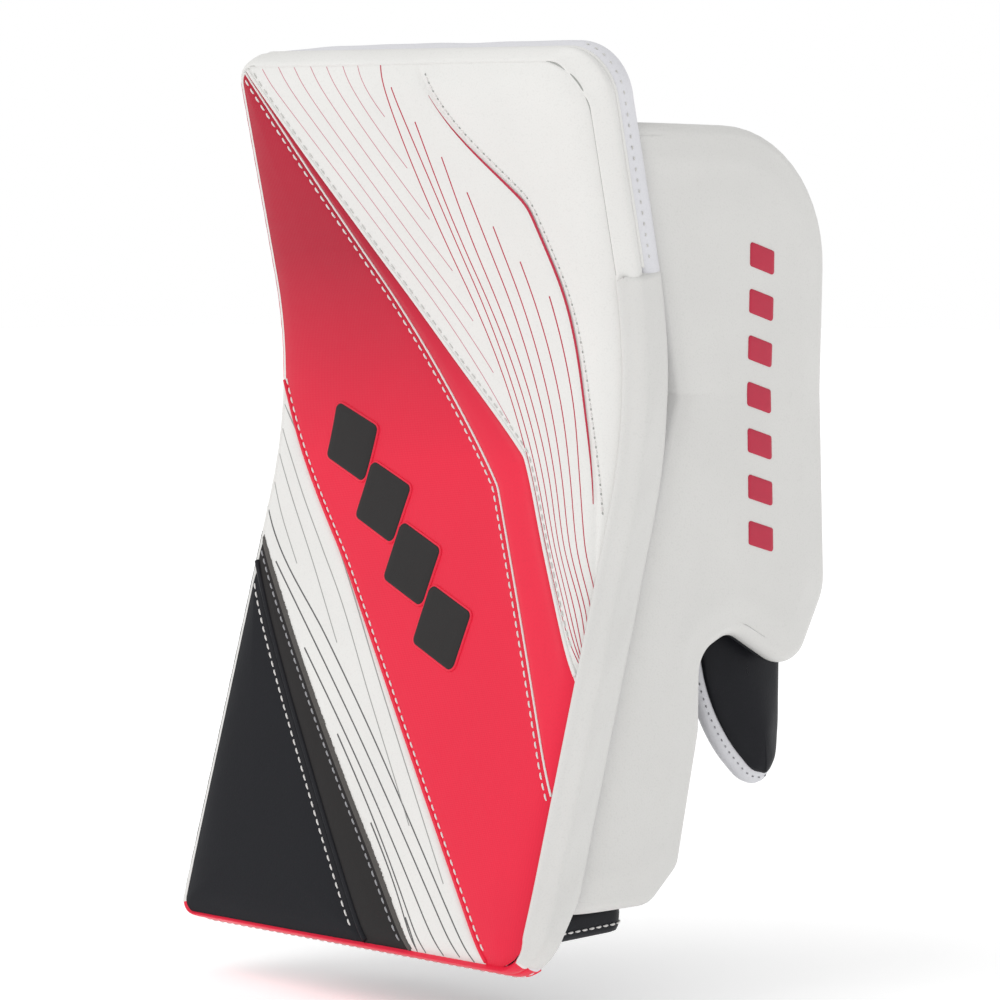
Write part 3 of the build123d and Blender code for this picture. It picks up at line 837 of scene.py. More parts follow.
def wall_band(name, keep, profile, finish, stands_for, wrinkle=0.0, fold=0.0):
    """One band of a side wall over part of the outline; fold rounds its two ends in.

    A lip draws the band's front in over the face by LIP, most where thumb side and wrist end
    meet. The rear is pulled in by CORNER_PULL at the far wrist corner, and the outset shrinks by
    FOOT_PULL at the finger end."""
    loop = board_loop(0.0, 1.2)
    out = -inward(loop)
    order = run_of(keep(loop))
    order = np.append(order, (order[-1] + 1) % len(loop))
    base, way = loop[order], out[order]
    profile = smooth_run(profile, 0.7)
    at = np.arange(len(base)) * 1.2
    depth, outset = profile[:, 0][:, None], profile[:, 1][:, None]
    swell = np.sin(np.clip((profile[:, 0] - profile[0, 0])
                           / (profile[-1, 0] - profile[0, 0]), 0, 1) * pi)[:, None]
    ripple = wrinkle * swell * (np.sin(at / 11.0 + depth / 5) * np.sin(at / 37.0 + 1)
                                + 0.5 * np.sin(at / 5.3 + depth / 3))
    lip = smooth((LIP_DEPTH - depth) / 6.0)
    corner = np.hypot(base[:, 0] + HALF_WIDTH, base[:, 1] - UP_LENGTH - TOP_SLANT * HALF_WIDTH)
    right, top = np.clip(way[:, 0], 0, 1), np.clip(way[:, 1], 0, 1)
    over = LIP["thumb side"] * right**2 + LIP["wrist end"] * top**2 + LIP["corner"] * right * top
    rise = outset + ripple - lip * over
    rise = rise - np.clip(depth - 4, 0, 20) / 20 * CORNER_PULL * np.exp(-corner / 20)
    rise = rise * (1 - FOOT_PULL * np.clip(-way[:, 1], 0, 1))
    depth = (depth - 2.2 * lip * (0.5 - 0.5 * np.tanh(base[:, 0] / 40))) * squeeze(base[:, 1])
    if fold:
        end = np.clip(np.minimum(at, at[-1] - at) / fold, 0, 1)
        rise = rise * np.sqrt(end) - 0.8 * (1 - np.sqrt(end))
    x = base[None, :, 0] + way[None, :, 0] * rise
    s = base[None, :, 1] + way[None, :, 1] * rise
    points = board_point(x, s, depth)
    faces = grid_faces(*x.shape)
    rough = np.cross(points[1:, :-1] - points[:-1, :-1], points[:-1, 1:] - points[:-1, :-1])
    centre = board_point(0, base[:-1, 1] * 0.9, 12.0)
    side = ((points[:-1, :-1] - centre[None]) * rough).sum()
    faces = faces[:, ::-1] if side > 0 else faces
    piece = add_mesh(name, points, faces, finish, "blocker", stands_for, outward=False)
    return piece


# (depth behind the face, reach out of the board's outline) across each band
FRONT_BAND = ((6.5, -8.0), (4.0, -3.0), (3.2, -1.0), (2.7, 0.2), (4.0, 1.5), (7.0, 2.3),
              (10.2, 1.9), (12.1, 1.0), (12.7, 0.1))
REAR_BAND = ((12.7, 0.1), (13.3, 1.3), (15.6, 2.5), (18.8, 2.7), (22.0, 1.6), (24.2, -0.8),
             (25.0, -4.0), (24.6, -5.6))
STRIP_BAND = ((3.6, -1.2), (1.9, -0.4), (2.4, 1.4), (4.6, 2.8), (8.5, 3.6), (14.0, 3.7),
              (18.5, 3.4), (21.6, 2.2), (23.4, 0.2), (24.4, -2.6))


def at_foot(loop):
    """The part of the outline at the finger end."""
    return loop[:, 1] < -LOW_LENGTH + BASE_LENGTH


def above_foot(loop):
    """The part of the outline that isn't at the finger end."""
    return loop[:, 1] >= -LOW_LENGTH + BASE_LENGTH


def beside_shield(loop):
    """The thumb side below the strip's cut end, round to the low corner."""
    low = -LOW_LENGTH + BASE_LENGTH
    return (loop[:, 0] > HALF_WIDTH - 9) & (loop[:, 1] < STRIP_TOP) & (loop[:, 1] > low)


def make_side_walls():
    """White bands round the board, red ones at its finger end, and the shield's strip."""
    wall_band("skin_sidewall_front", above_foot, FRONT_BAND, "white_leather",
              ("sidewall_front_band", "soft_face_foam"), 0.12)
    wall_band("skin_sidewall_rear", above_foot, REAR_BAND, "white_leather_cool",
              ("sidewall_rear_band", "core_foam"), 0.18)
    wall_band("skin_base_front", at_foot, FRONT_BAND, "red_leather", ("base_front_band",), 0.08)
    wall_band("skin_base_rear", at_foot, REAR_BAND, "red_leather", ("base_rear_band",), 0.08)
    # the strip uses a darker copy of the white leather: painted shade
    wall_band("skin_shield_strip", beside_shield, STRIP_BAND, "white_leather_shaded",
              ("shield_mount_strip",), 0.35, fold=1.8)


def rim_line(keep, depth, outset, step=1.0):
    """Places and outward ways along part of the outline."""
    loop = board_loop(0.0, step)
    out = -inward(loop)
    order = run_of(keep(loop))
    base, way = loop[order], out[order]
    place = base + way * outset
    deep = depth * squeeze(base[:, 1])
    path = board_point(place[:, 0], place[:, 1], deep)
    tip = board_point(place[:, 0] + way[:, 0], place[:, 1] + way[:, 1], deep)
    return path, tip - path


def wrist_half(loop):
    """The outline above the strip on the thumb side, over the top and down the other side."""
    return ~beside_shield(loop) & above_foot(loop)


def thumb_wall(loop):
    """The thumb side above the strip."""
    return wrist_half(loop) & (loop[:, 0] > 84)


def make_rim_trim():
    """Welts round the rim with their rows of thread, and the seam between face and walls."""
    pitch, length, width = thread_sizes()
    path, up = rim_line(wrist_half, 12.9, 0.6)
    add_mesh("rim_welt", *section_tube(path, up, 1.1), "white_leather", "blocker",
             ("edge_piping",))
    path, up = rim_line(thumb_wall, 15.7, 2.6)
    add_mesh("rim_stitches", *stitches(path, up, pitch, length * 0.5, width * 0.8),
             "thread_shade", "blocker", merge=0)
    loop = face_loop(1.0)
    x, s = loop.T
    line = loop[run_of((s > STRIP_TOP) & ((x > 80) | (s > 125) & (x > -97)))]
    path, up = on_panel("face_panel_white", line, 0.35)
    add_mesh("face_rim_seam", *section_tube(path, up, 0.38), "hole", "blocker")
    path, up = rim_line(at_foot, 24.3, -0.8)
    add_mesh("base_rear_piping", *section_tube(path, up, 1.3), "red_leather", "blocker")
    path, up = rim_line(at_foot, 19.6, 0.75)
    add_mesh("base_stitches", *stitches(path, up, pitch, length, width), "thread_white",
             "blocker", merge=0)


def make_rear_cover():
    """The board's back: a skin with a soft swell, drawn in from the rim."""
    loop = board_loop(5.2, 0.6)
    rows = to_row(loop)
    low, high = rows[:, 1].min(), rows[:, 1].max()
    v = np.linspace(low + 0.003, high - 0.003, 260)
    left, right = edge_x(rows, v, -1), edge_x(rows, v, 1)
    t = np.linspace(0, 1, 90)
    x = left[:, None] + (right - left)[:, None] * t
    s = from_row(x, np.broadcast_to(v[:, None], x.shape))
    rim = distance(np.stack([x, s], -1), loop)
    h = BOARD_DEPTH + 0.4 + 0.7 * (1 - np.exp(-rim / 9)) - 0.5 * np.exp(-rim / 1.5)
    h = h * squeeze(s)
    points = board_point(x, s, h)
    faces = flip_to(points.reshape(-1, 3), grid_faces(*x.shape), (0, 1, 0))
    piece = add_mesh("skin_rear_cover", points, faces, "black_fabric", "blocker",
                     ("rear_cover",), outward=False)


# ---------------------------------------------------------------- side shield

def crease_y(z):
    """y of the board's rear planes at z, each run on until they meet."""
    up = (z - BOARD_DEPTH * sin(UP_ANGLE)) / cos(UP_ANGLE)
    low = (-z - BOARD_DEPTH * sin(LOW_ANGLE)) / cos(LOW_ANGLE)
    return np.minimum(BOARD_DEPTH * cos(UP_ANGLE) - up * sin(UP_ANGLE),
                      BOARD_DEPTH * cos(LOW_ANGLE) - low * sin(LOW_ANGLE))


def shield_point(y, z, w):
    """A place on the shield: its outer plane leans out with the distance behind the board."""
    x = HALF_WIDTH + STRIP_OUT + (y - crease_y(z)) * tan(SHIELD_FLARE) + w
    return np.stack([x, y, z], -1)


def shield_run(step=1.5):
    """The shield's free outline, from the board at its top round to the board at its foot."""
    loop = rounded_loop(SHIELD_OUTLINE, 0.8)
    free = loop[:, 0] > depth_y(loop[:, 1], BOARD_DEPTH - 2.0)
    return resample(loop[run_of(free)], step)


SHIELD_RADIUS = 5.5
# each key: a place (y, z) of the free outline, and the z at which its row leaves the board
SHIELD_ROWS = (
    ((9, 108), 102), ((48, 108), 92), ((90, 92), 68), ((106.5, 50), 35), ((106.5, -60), -22),
    ((101, -100), -40), ((87, -115), -50), ((70, -112), -60), ((52, -102), -82),
    ((40, -104), -97), ((33.5, -115), -112), ((32.5, -138), -137), ((20, -190), -184),
    ((3, -206), -195), ((-30, -206), -200),
)


def shield_height(y, z):
    """The skin's swell: it rises from the edge round as 1 - exp, highest over the wrist."""
    run = shield_run()
    gap = np.maximum(distance(np.stack([y, z], -1), run) - SHIELD_RADIUS, 0)
    crown = 1.5 * (1 - np.exp(-gap / 15)) + 0.45 * np.exp(-((gap - 9) / 5) ** 2)
    swell = 1.3 * np.exp(-(((y - 60) / 32) ** 2)) * np.exp(-(((z - 20) / 80) ** 2))
    ripple = 0.18 * np.sin(z / 17 + y / 40) * np.sin(y / 21 + 0.6) * (1 - np.exp(-gap / 10))
    return crown + swell * (1 - np.exp(-gap / 12)) + ripple


def shield_dip(y, z):
    """How far the skin sinks into the fold beside the strip."""
    return 5.0 * np.exp(-np.maximum(y - crease_y(z), 0) / 5.0)


def shield_skin(name, first, last, inner, finish, nodes):
    """One skin: straight rows from the board to the edge round, then round the edge.

    The edge is a half circle of SHIELD_RADIUS; the skin covers it from angle first to last,
    with 90 degrees at the outer face and -90 at the inner one."""
    run = shield_run()
    way = directions(run)
    inwards = np.stack([way[:, 1], -way[:, 0]], -1)
    at = [distance(run, np.array([key], float)).argmin() for key, _ in SHIELD_ROWS]
    front_z = np.interp(np.arange(len(run)), at, [z for _, z in SHIELD_ROWS])
    front = np.stack([crease_y(front_z) - 0.5, front_z], -1)
    ring = run + inwards * SHIELD_RADIUS
    t = np.linspace(0, 1, 44)[:, None, None]
    flat = front[None] * (1 - t) + ring[None] * t
    if inner:
        gap = np.maximum(distance(flat, run) - SHIELD_RADIUS, 0)
        height = -2 * SHIELD_RADIUS - 1.2 * (1 - np.exp(-gap / 18))
    else:
        height = shield_height(flat[..., 0], flat[..., 1])
        height[-1] = 0
    turn = np.radians(np.linspace(first, last, 14))[:, None]
    edge = run[None] + inwards[None] * (SHIELD_RADIUS - SHIELD_RADIUS * np.cos(turn))[..., None]
    edge_height = np.broadcast_to(SHIELD_RADIUS * np.sin(turn) - SHIELD_RADIUS, edge.shape[:2])
    places = np.concatenate([front[None], flat, edge])
    heights = np.concatenate([np.full((1, len(run)), -SHIELD_RADIUS * 1.6), height, edge_height])
    heights = heights - shield_dip(places[..., 0], places[..., 1]) * (not inner)
    points = shield_point(places[..., 0], places[..., 1], heights)
    faces = flip_to(points.reshape(-1, 3), grid_faces(*places.shape[:2]),
                    (-1, 0, 0) if inner else (1, 0, 0))
    piece = add_mesh(name, points, faces, finish, "blocker", nodes, outward=False)


def make_shield():
    """White outer skin over the foam, black lining inside, and a welt between them."""
    # the cover uses a darker copy of the white leather: painted shade, as the shield faces sideways
    # away from the key light
    shield_skin("skin_shield_cover", 90, -40, False, "white_leather_shaded",
                ("shield_cover", "shield_foam"))
    shield_skin("skin_shield_lining", -90, -40, True, "black_fabric", ("shield_lining",))
    run = shield_run()
    way = directions(run)
    inwards = np.stack([way[:, 1], -way[:, 0]], -1)
    turn = radians(-42)
    at = run + inwards * (SHIELD_RADIUS - SHIELD_RADIUS * cos(turn) - 0.3)
    height = np.full(len(at), SHIELD_RADIUS * sin(turn) - SHIELD_RADIUS)
    path = shield_point(at[:, 0], at[:, 1], height)
    add_mesh("shield_rim_welt", *section_tube(path, np.tile([-1.0, 0, 0], (len(path), 1)), 1.1),
             "black_leather", "blocker")


DASH_TOP = 54
DASH_PITCH = 19
DASH_BAR = ((58, 7), (72, 3), (72, -7), (58, -3))


def make_shield_dashes():
    """Seven flat raised dashes in a row down the shield."""
    parts = []
    for i in range(7):
        z = DASH_TOP - i * DASH_PITCH
        loop = rounded_loop([((y, z + dz), 1.2) for y, dz in DASH_BAR], 0.6)
        middle = loop.mean(0)

        def place(a, b, w):
            return shield_point(a, b, w + shield_height(a, b))

        parts.append(cushion(loop, (middle - (4, 0), middle + (4, 0)),
                             ((0.0, -0.6), (0.05, 0.25), (0.3, 0.4)), 0.05, place, fill=4))
    points, faces = joined(parts)
    faces = flip_to(points, faces, (1, 0, 0))
    add_mesh("shield_dash_marks", points, faces, "print_red", "blocker", ("shield_dashes",),
             outward=False)


# ---------------------------------------------------------------- thumb

def thumb_point(t, z, n):
    """A place at the thumb: n runs out through the guard, t to the rear."""
    x = THUMB_AT[0] + n * cos(THUMB_TURN) + t * sin(THUMB_TURN)
    y = THUMB_AT[1] - n * sin(THUMB_TURN) + t * cos(THUMB_TURN)
    return np.stack(np.broadcast_arrays(x, y, z), -1)


STALL_T, STALL_N = -5, -21.5


def make_thumb():
    """The leaf guard with its white edge band, and the stall behind it."""
    ends = ((5, -48), (-30, -48), (-33.6, -50.5))
    leaf = np.vstack([smooth_run((*ends[1:], *GUARD_LEFT)), smooth_run((GUARD_LEFT[-1], (8.6, -50),
                                                                       ends[0]))])
    loop = resample(leaf, 1.2, closed=True)
    spine = ((-12, -66), (-12, -118), (-3, -143))
    face = [(0.8, -3.2), (0.2, -2.2), (1.0, -0.9), (3.0, 0.1)]
    full = smooth((7.5 - loop[:, 0]) / 9.0)
    shift = 1.9 * full * smooth((-96 - loop[:, 1]) / 60)
    face = [(inset + shift, height) for inset, height in face]
    points, faces = cushion(loop, spine, face, 3.0, thumb_point, fill=12)
    faces = flip_to(points, faces, (1, -0.2, 0))
    piece = add_mesh("thumb_guard_skin", points, faces, "black_leather", "thumb",
                     ("thumb_guard_face",), outward=False)
    band = [(0.5, -11.6), (-1.2 * full, -11.0), (-3.0 * full, -8.6), (-3.3 * full, -6.2),
            (-2.3 * full - 0.05, -4.0), (shift - 0.6 * full, -2.8), (0.9 + shift, -2.5)]
    points, faces = cushion(loop, spine, band, 0.0, thumb_point, foot_crown=-1.0, fill=8)
    piece = add_mesh("thumb_guard_band", points, faces, "white_leather_cool", "thumb",
                     ("thumb_guard_cover", "thumb_guard_foam"))
    normals = inward(loop)
    kept = np.flatnonzero((full > 0.25) & (loop[:, 1] < -56))
    at = (loop + normals * (0.75 * shift - 1.5 * full - 0.2)[:, None])[kept]
    path = thumb_point(at[:, 0], at[:, 1], np.full(len(at), -3.25))
    out = at - normals[kept]
    up = thumb_point(out[:, 0], out[:, 1], np.full(len(at), -1.6)) - path
    add_mesh("thumb_guard_stitches", *stitches(path, up, 3.4, 1.3, thread_sizes()[2] * 0.8),
             "thread_grey", "thumb", merge=0)
    sections = []
    shape = squircle(56, 10.5, 13.0, 3.0)
    for z in np.linspace(-46, -152, 40):
        past = np.clip((-z - 116) / 36.0, 0, 1)
        size = np.sqrt(np.maximum(1 - past**2, 0.02))
        roll = 0.5 * np.cos((z + 46) / 106 * 2 * pi * 4)
        ring = shape * size * (1 + roll / 20)
        sections.append(thumb_point(STALL_T + ring[:, 1], z, STALL_N + ring[:, 0]))
    inner = [(r - r.mean(0)) * (1, 1, 0) * 0.8 + r.mean(0) for r in sections[:-3]]
    points, faces = loft(inner[::-1] + sections, closed_start=True, closed_end=True)
    piece = add_mesh("thumb_stall_skin", points, faces, "palm_leather", "thumb",
                     ("thumb_stall",))


# ---------------------------------------------------------------- hand side

def low_place(x, s, h):
    """A place over the finger half, with s counted down the board."""
    y, z = lower(s, h)
    return np.stack(np.broadcast_arrays(x, y, z), -1)


def up_place(x, s, h):
    """A place over the wrist half."""
    y, z = upper(s, h)
    return np.stack(np.broadcast_arrays(x, y, z), -1)


def make_tip_guard():
    """The black pad across the finger end, stitched round its lower edge."""
    x0, x1 = TIP_GUARD_X
    front = float(depth_y(-212.0, BOARD_DEPTH)) - 2
    corners = (((x0, front), 2), ((x1, front), 2), ((x1, TIP_GUARD_REAR), 9),
               ((x0, TIP_GUARD_REAR), 9))
    loop = rounded_loop(corners, 1.6)
    height = TIP_GUARD_Z[1] - TIP_GUARD_Z[0]
    edge = [(2.6, 0.2), (0.9, 0.9), (0.1, 2.6), (0.0, 4.2), (-0.3, 8.0), (0.3, height - 2.0),
            (2.6, height)]

    def place(a, b, w):
        return np.stack([a, b, TIP_GUARD_Z[0] + w], -1)

    spine = ((x0 + 26, -16), (x1 - 26, -16))
    points, faces = cushion(loop, spine, edge, 1.2, place, foot_crown=-0.2, fill=8)
    piece = add_mesh("tip_guard_skin", points, faces, "black_leather", "blocker",
                     ("tip_guard_cover", "tip_guard_foam"))
    out = -inward(loop)
    at = loop + out * 0.25
    path = place(at[:, 0], at[:, 1], np.full(len(at), 4.0))
    up = np.concatenate([out, np.zeros((len(out), 1))], 1)
    add_mesh("tip_guard_stitches", *stitches(path, up, 4.2, 2.9, thread_sizes()[2] * 1.15),
             "thread_white", "blocker", merge=0)


def make_hand_pad():
    """The foam-backed pad between board and hand, quilted across in five rolls."""
    corners = (((PALM_X[0], 62), 12), ((PALM_X[1], 62), 12), ((PALM_X[1], -190), 12),
               ((PALM_X[0], -190), 12))
    loop = rounded_loop(corners, 1.8)
    middle = sum(PALM_X) / 2
    spine = ((middle, 30), (middle, -160))

    def place(a, b, w):
        roll = 0.9 * np.abs(np.sin((b + 190) / 42 * pi)) * (w > 5)
        return board_point(a, b, BOARD_DEPTH + w + roll)

    edge = [(0.4, 0.4), (0.0, 2.0), (0.3, 4.4), (1.6, 6.0), (3.4, 6.6)]
    points, faces = cushion(loop, spine, edge, 0.3, place, fill=60)
    faces = flip_to(points, faces, (0, 1, 0))
    piece = add_mesh("hand_pad_skin", points, faces, "black_fabric", "blocker", ("hand_pad",),
                     outward=False)


def palm_section(s, grow=0.0, count=96):
    """The palm tube's section at s, as places."""
    half = (PALM_X[1] - PALM_X[0]) / 2 + grow
    deep = (PALM_DEPTHS[1] - PALM_DEPTHS[0]) / 2 + grow
    ring = squircle(count, half, deep, 4.0)
    return low_place(sum(PALM_X) / 2 + ring[:, 0], s, sum(PALM_DEPTHS) / 2 + ring[:, 1])


def cuff_section(s, grow=0.0, count=96):
    """The cuff's section at s, as places."""
    ring = squircle(count, CUFF_SIZE[0] / 2 + grow, CUFF_SIZE[1] / 2 + grow,
                    SLEEVE_POWER)
    return up_place(CUFF_X + ring[:, 0], s, CUFF_DEPTH + ring[:, 1])


def wall_of(outer, inner):
    """A sleeve with an outer and an inner wall joined at both mouths."""
    return loft(list(outer) + list(inner)[::-1] + [outer[0]])


PALM_WALL = 2.5
CUFF_WALL = 3.9


def make_glove():
    """Palm tube, wrist gusset and cuff, each a sleeve with a lining."""
    places = np.linspace(PALM_S[0], PALM_S[1], 34)
    outer = [palm_section(s, 0.25 * sin((s - 12) / 88 * pi * 3) ** 2) for s in places]
    inner = [palm_section(s, -PALM_WALL) for s in places]
    piece = add_mesh("palm_skin", *wall_of(outer, inner), "palm_leather", "blocker",
                     ("palm", "hand_liner"))
    low, high = palm_section(PALM_S[0]), cuff_section(CUFF_S[0])
    low_in, high_in = palm_section(PALM_S[0], -PALM_WALL), cuff_section(CUFF_S[0], -PALM_WALL)
    share = np.linspace(0, 1, 30)

    def folds(a, b, depth):
        rows = []
        for t in share:
            ring = a * (1 - t) + b * t
            out = ring - ring.mean(0)
            out /= np.linalg.norm(out, axis=1)[:, None]
            rear = np.clip(out[:, 1], 0, 1)
            rows.append(ring + out * (depth * np.sin(t * pi * 4) ** 2 * rear)[:, None])
        return rows

    piece = add_mesh("wrist_gusset_skin", *wall_of(folds(low, high, 2.4), folds(low_in, high_in, 0)),
                     "black_fabric", "blocker", ("wrist_gusset",))
    places = np.linspace(CUFF_S[0], CUFF_S[1], 30)
    outer = [cuff_section(s, 0.5 * sin((s - 8) / 78 * pi)) for s in places]
    inner = [cuff_section(s, -CUFF_WALL) for s in places]
    piece = add_mesh("cuff_skin", *wall_of(outer, inner), "black_fabric", "blocker",
                     ("cuff_shell", "cuff_lining"))
    turn = np.linspace(0, 2 * pi, 12, endpoint=False)
    rows = [cuff_section(CUFF_S[1] - 3.4 + 3.6 * sin(a), -1.2 + 2.9 * cos(a)) for a in turn]
    add_mesh("cuff_binding_roll", *loft(rows + rows[:1]), "webbing", "blocker",
             ("cuff_binding",))


def make_palm_patch():
    """A second layer of leather on the palm, stitched round."""
    middle = sum(PALM_X) / 2
    loop = rounded_loop((((middle - 34, 29), 9), ((middle + 34, 29), 9), ((middle + 34, 85), 9),
                         ((middle - 34, 85), 9)), 1.2)

    def place(a, b, w):
        return low_place(a, b, PALM_DEPTHS[1] + w)

    points, faces = cushion(loop, ((middle - 20, 57), (middle + 20, 57)),
                            ((0.0, -0.3), (0.0, 1.0), (0.5, 1.45)), 0.2, place, fill=8)
    faces = flip_to(points, faces, (0, 1, 0))
    add_mesh("palm_patch_skin", points, faces, "palm_leather", "blocker", ("palm_patch",),
             outward=False)
    at = loop + inward(loop) * 2.4
    path = place(at[:, 0], at[:, 1], np.full(len(at), 1.55))
    up = np.tile(low_place(0, 0, 1)[None] - low_place(0, 0, 0)[None], (len(path), 1))
    add_mesh("palm_patch_stitches", *stitches(path, up, 3.6, 2.4, 0.6), "thread_grey",
             "blocker", merge=0)


def strap_ring(s, inner, outer, start=-0.02, stop=1.02, count=70):
    """The strap's section: the rear half of the cuff's section between two growths."""
    whole = squircle(400, 1.0, 1.0, SLEEVE_POWER)
    angle = np.arctan2(whole[:, 1], whole[:, 0])
    keep = np.sort(angle[(angle >= start * pi) & (angle <= stop * pi)])
    turn = np.linspace(keep[0], keep[-1], count)
    power = SLEEVE_POWER
    c, d = np.cos(turn), np.sin(turn)
    reach = 1 / (np.abs(c) ** power + np.abs(d) ** power) ** (1 / power)
    unit = np.stack([c * reach, d * reach], -1)
    half = np.array(CUFF_SIZE) / 2
    near, far = unit * (half + inner), unit * (half + outer)
    ring = np.vstack([far, near[::-1]])
    return up_place(CUFF_X + ring[:, 0], s, CUFF_DEPTH + ring[:, 1])


def make_strap():
    """The wrist strap, its hook and loop patches and the anchor that holds its end."""
    def band(name, growths, stretch, arc, finish, body, node):
        places = np.linspace(*stretch, 14)
        rows = []
        for s in places:
            edge = min(s - stretch[0], stretch[1] - s)
            thin = 0.35 * np.exp(-edge / 0.8)
            rows.append(strap_ring(s, growths[0] + thin, growths[1] - thin, *arc))
        points, faces = loft(rows)
        count = len(rows[0])
        caps = []
        for row in (0, len(rows) - 1):
            base = row * count
            idx = np.arange(count // 2 - 1)
            caps.append(np.stack([base + idx, base + idx + 1, base + count - 2 - idx,
                                  base + count - 1 - idx], -1))
        faces = np.vstack([faces] + caps)
        return add_mesh(name, points, faces, finish, body, (node,))

    band("wrist_strap_webbing", (2.4, 4.4), (28, 66), (0.0, 1.0), "webbing", "strap",
         "wrist_strap")
    band("hook_patch", (1.6, 2.4), (30, 64), (0.0, 0.32), "hooks", "strap", "strap_hook_patch")
    band("loop_patch", (0.4, 1.3), (30, 64), (0.0, 0.32), "loops", "blocker",
         "cuff_loop_patch")
    band("strap_anchor_tab", (0.3, 4.4), (28, 66), (-0.999, -0.9), "webbing", "blocker",
         "strap_anchor")


def finger_section(x, s, grow=0.0, shift=0.0, count=48):
    """A finger's section at s: a soft box, flatter on the palm side."""
    half = FINGER_WIDTH / 2 + grow
    deep = (FINGER_DEPTHS[1] - FINGER_DEPTHS[0]) / 2 + grow
    ring = squircle(count, half, deep, SLEEVE_POWER)
    return low_place(x + ring[:, 0], s, sum(FINGER_DEPTHS) / 2 + shift + ring[:, 1])


def finger_sleeve(x, s0, s1, rolls, closed):
    """Outer and inner walls of a stall, with padded rolls on its back."""
    places = np.linspace(s0, s1, 30)
    outer, inner = [], []
    for s in places:
        t = (s - s0) / (s1 - s0)
        roll = 0.8 * abs(sin(t * pi * rolls)) - 0.9
        size = 1.0
        if closed:
            past = np.clip((s - (s1 - 10)) / 10, 0, 1)
            size = np.sqrt(max(1 - past**2, 0.03))
        ring = finger_section(x, s)
        middle = ring.mean(0)
        back = np.clip((middle - ring)[:, 1] / 10, 0, 1)[:, None]
        out = (ring - middle) / np.linalg.norm(ring - middle, axis=1)[:, None]
        outer.append(middle + (ring + out * roll * back - middle) * size)
        inner.append(middle + (ring - middle) * 0.8 * size)
    if closed:
        return loft(inner[-4:0:-1] + outer, closed_end=True)
    return wall_of(outer, inner)


def make_fingers():
    """Eight padded stalls and the soft covers that bridge each hinge line."""
    for name, (joint, tip, x) in FINGERS.items():
        start = KNUCKLE_S + 1.3
        piece = add_mesh(f"{name}_stall_skin", *finger_sleeve(x, start, joint - 1.3, 2, False),
                         "palm_leather", f"{name}_finger", (f"{name}_stall",))
        piece = add_mesh(f"{name}_tip_skin", *finger_sleeve(x, joint + 1.3, tip, 1, True),
                         "palm_leather", f"{name}_fingertip", (f"{name}_tip",))
        bridge(f"{name}_knuckle_cover", x, KNUCKLE_S)
        bridge(f"{name}_joint_cover", x, joint)


BRIDGE_SHARE = 0.55
BLEND_DEPTH = 45.5


def bridge(name, x, joint):
    """Stretch fabric across one hinge line, on the back and sides of the finger."""
    places = np.linspace(joint - 9, joint + 9, 26)
    ring = squircle(48, 1.0, 1.0, SLEEVE_POWER)
    part = ring[run_of(ring[:, 1] < BRIDGE_SHARE)]
    half = FINGER_WIDTH / 2 - 1.6
    deep = (FINGER_DEPTHS[1] - FINGER_DEPTHS[0]) / 2 - 1.4
    rows = []
    for s in places:
        rows.append(low_place(x + part[:, 0] * half, s, sum(FINGER_DEPTHS) / 2 + part[:, 1] * deep))
    inner = [r + (r.mean(0) - r) * 0.05 for r in rows]
    outer, inside = np.stack(rows), np.stack(inner)
    closed = np.concatenate([outer, inside[:, ::-1]], 1)
    points = closed.reshape(-1, 3)
    faces = grid_faces(len(rows), closed.shape[1], closed=True)
    piece = add_mesh(name, points, faces, "stretch", None)
    a, b = [(low_place(x, joint + way, BLEND_DEPTH) - ROW_ORIGIN) * MM for way in (-5, 5)]
    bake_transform(piece)


def make_thumb_base():
    """The padded root of the thumb, from the palm's side round to the stall."""
    corners = (((56.8, 44), 5), ((88, 44), 12), ((88, 105), 14), ((56.8, 105), 9))
    loop = rounded_loop(corners, 1.4)

    def place(a, b, w):
        return np.stack([a, b, -39 + w], -1)

    edge = [(6.0, 0.6), (2.4, 0.6), (0.5, 2.6), (-0.6, 9.0), (-0.8, 16.0), (-0.4, 24.0),
            (1.8, 29.4), (6.5, 32.4)]
    points, faces = cushion(loop, ((70, 62), (70, 90)), edge, 1.0, place, fill=8)
    faces = flip_to(points, faces, (0, 0, 1))
    piece = add_mesh("thumb_base_skin", points, faces, "black_fabric", "blocker",
                     ("thumb_base",), outward=False)


def make_thumb_gusset():
    """Stretch fabric between the thumb's root and its stall, folding with the thumb."""
    shape = squircle(60, 9.6, 12.2, 3.0)
    share = np.linspace(0, 1, 22)
    rows = []
    for t in share:
        waist = 1 - 0.10 * sin(t * pi) + 0.03 * cos(t * pi * 6)
        z = -33 - 20 * t
        rows.append(thumb_point(STALL_T + shape[:, 1] * waist, z, STALL_N + shape[:, 0] * waist))
    inner = [(r - r.mean(0)) * (0.9, 0.9, 1) + r.mean(0) for r in rows]
    piece = add_mesh("thumb_gusset", *loft(rows + inner[::-1] + rows[:1]), "stretch", None)
    a, b = [(thumb_point(STALL_T, z, STALL_N) - ROW_ORIGIN) * MM for z in (-38, -49)]
    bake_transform(piece)


# ---------------------------------------------------------------- finishes

FINISHES = {}


class Wire:
    """A socket that takes part in sums: each operator adds its Math node."""

    def __init__(self, tree, socket):
        self.tree, self.socket = tree, socket

    def _math(self, operation, first, second):
        node = self.tree.nodes.new("ShaderNodeMath")
        node.operation = operation
        for slot, value in zip(node.inputs, (first, second)):
            plug(self.tree, slot, value)
        return Wire(self.tree, node.outputs[0])

    def __add__(self, other):
        return self._math("ADD", self, other)

    def __radd__(self, other):
        return self._math("ADD", other, self)

    def __sub__(self, other):
        return self._math("SUBTRACT", self, other)

    def __rsub__(self, other):
        return self._math("SUBTRACT", other, self)

    def __mul__(self, other):
        return self._math("MULTIPLY", self, other)

    def __rmul__(self, other):
        return self._math("MULTIPLY", other, self)


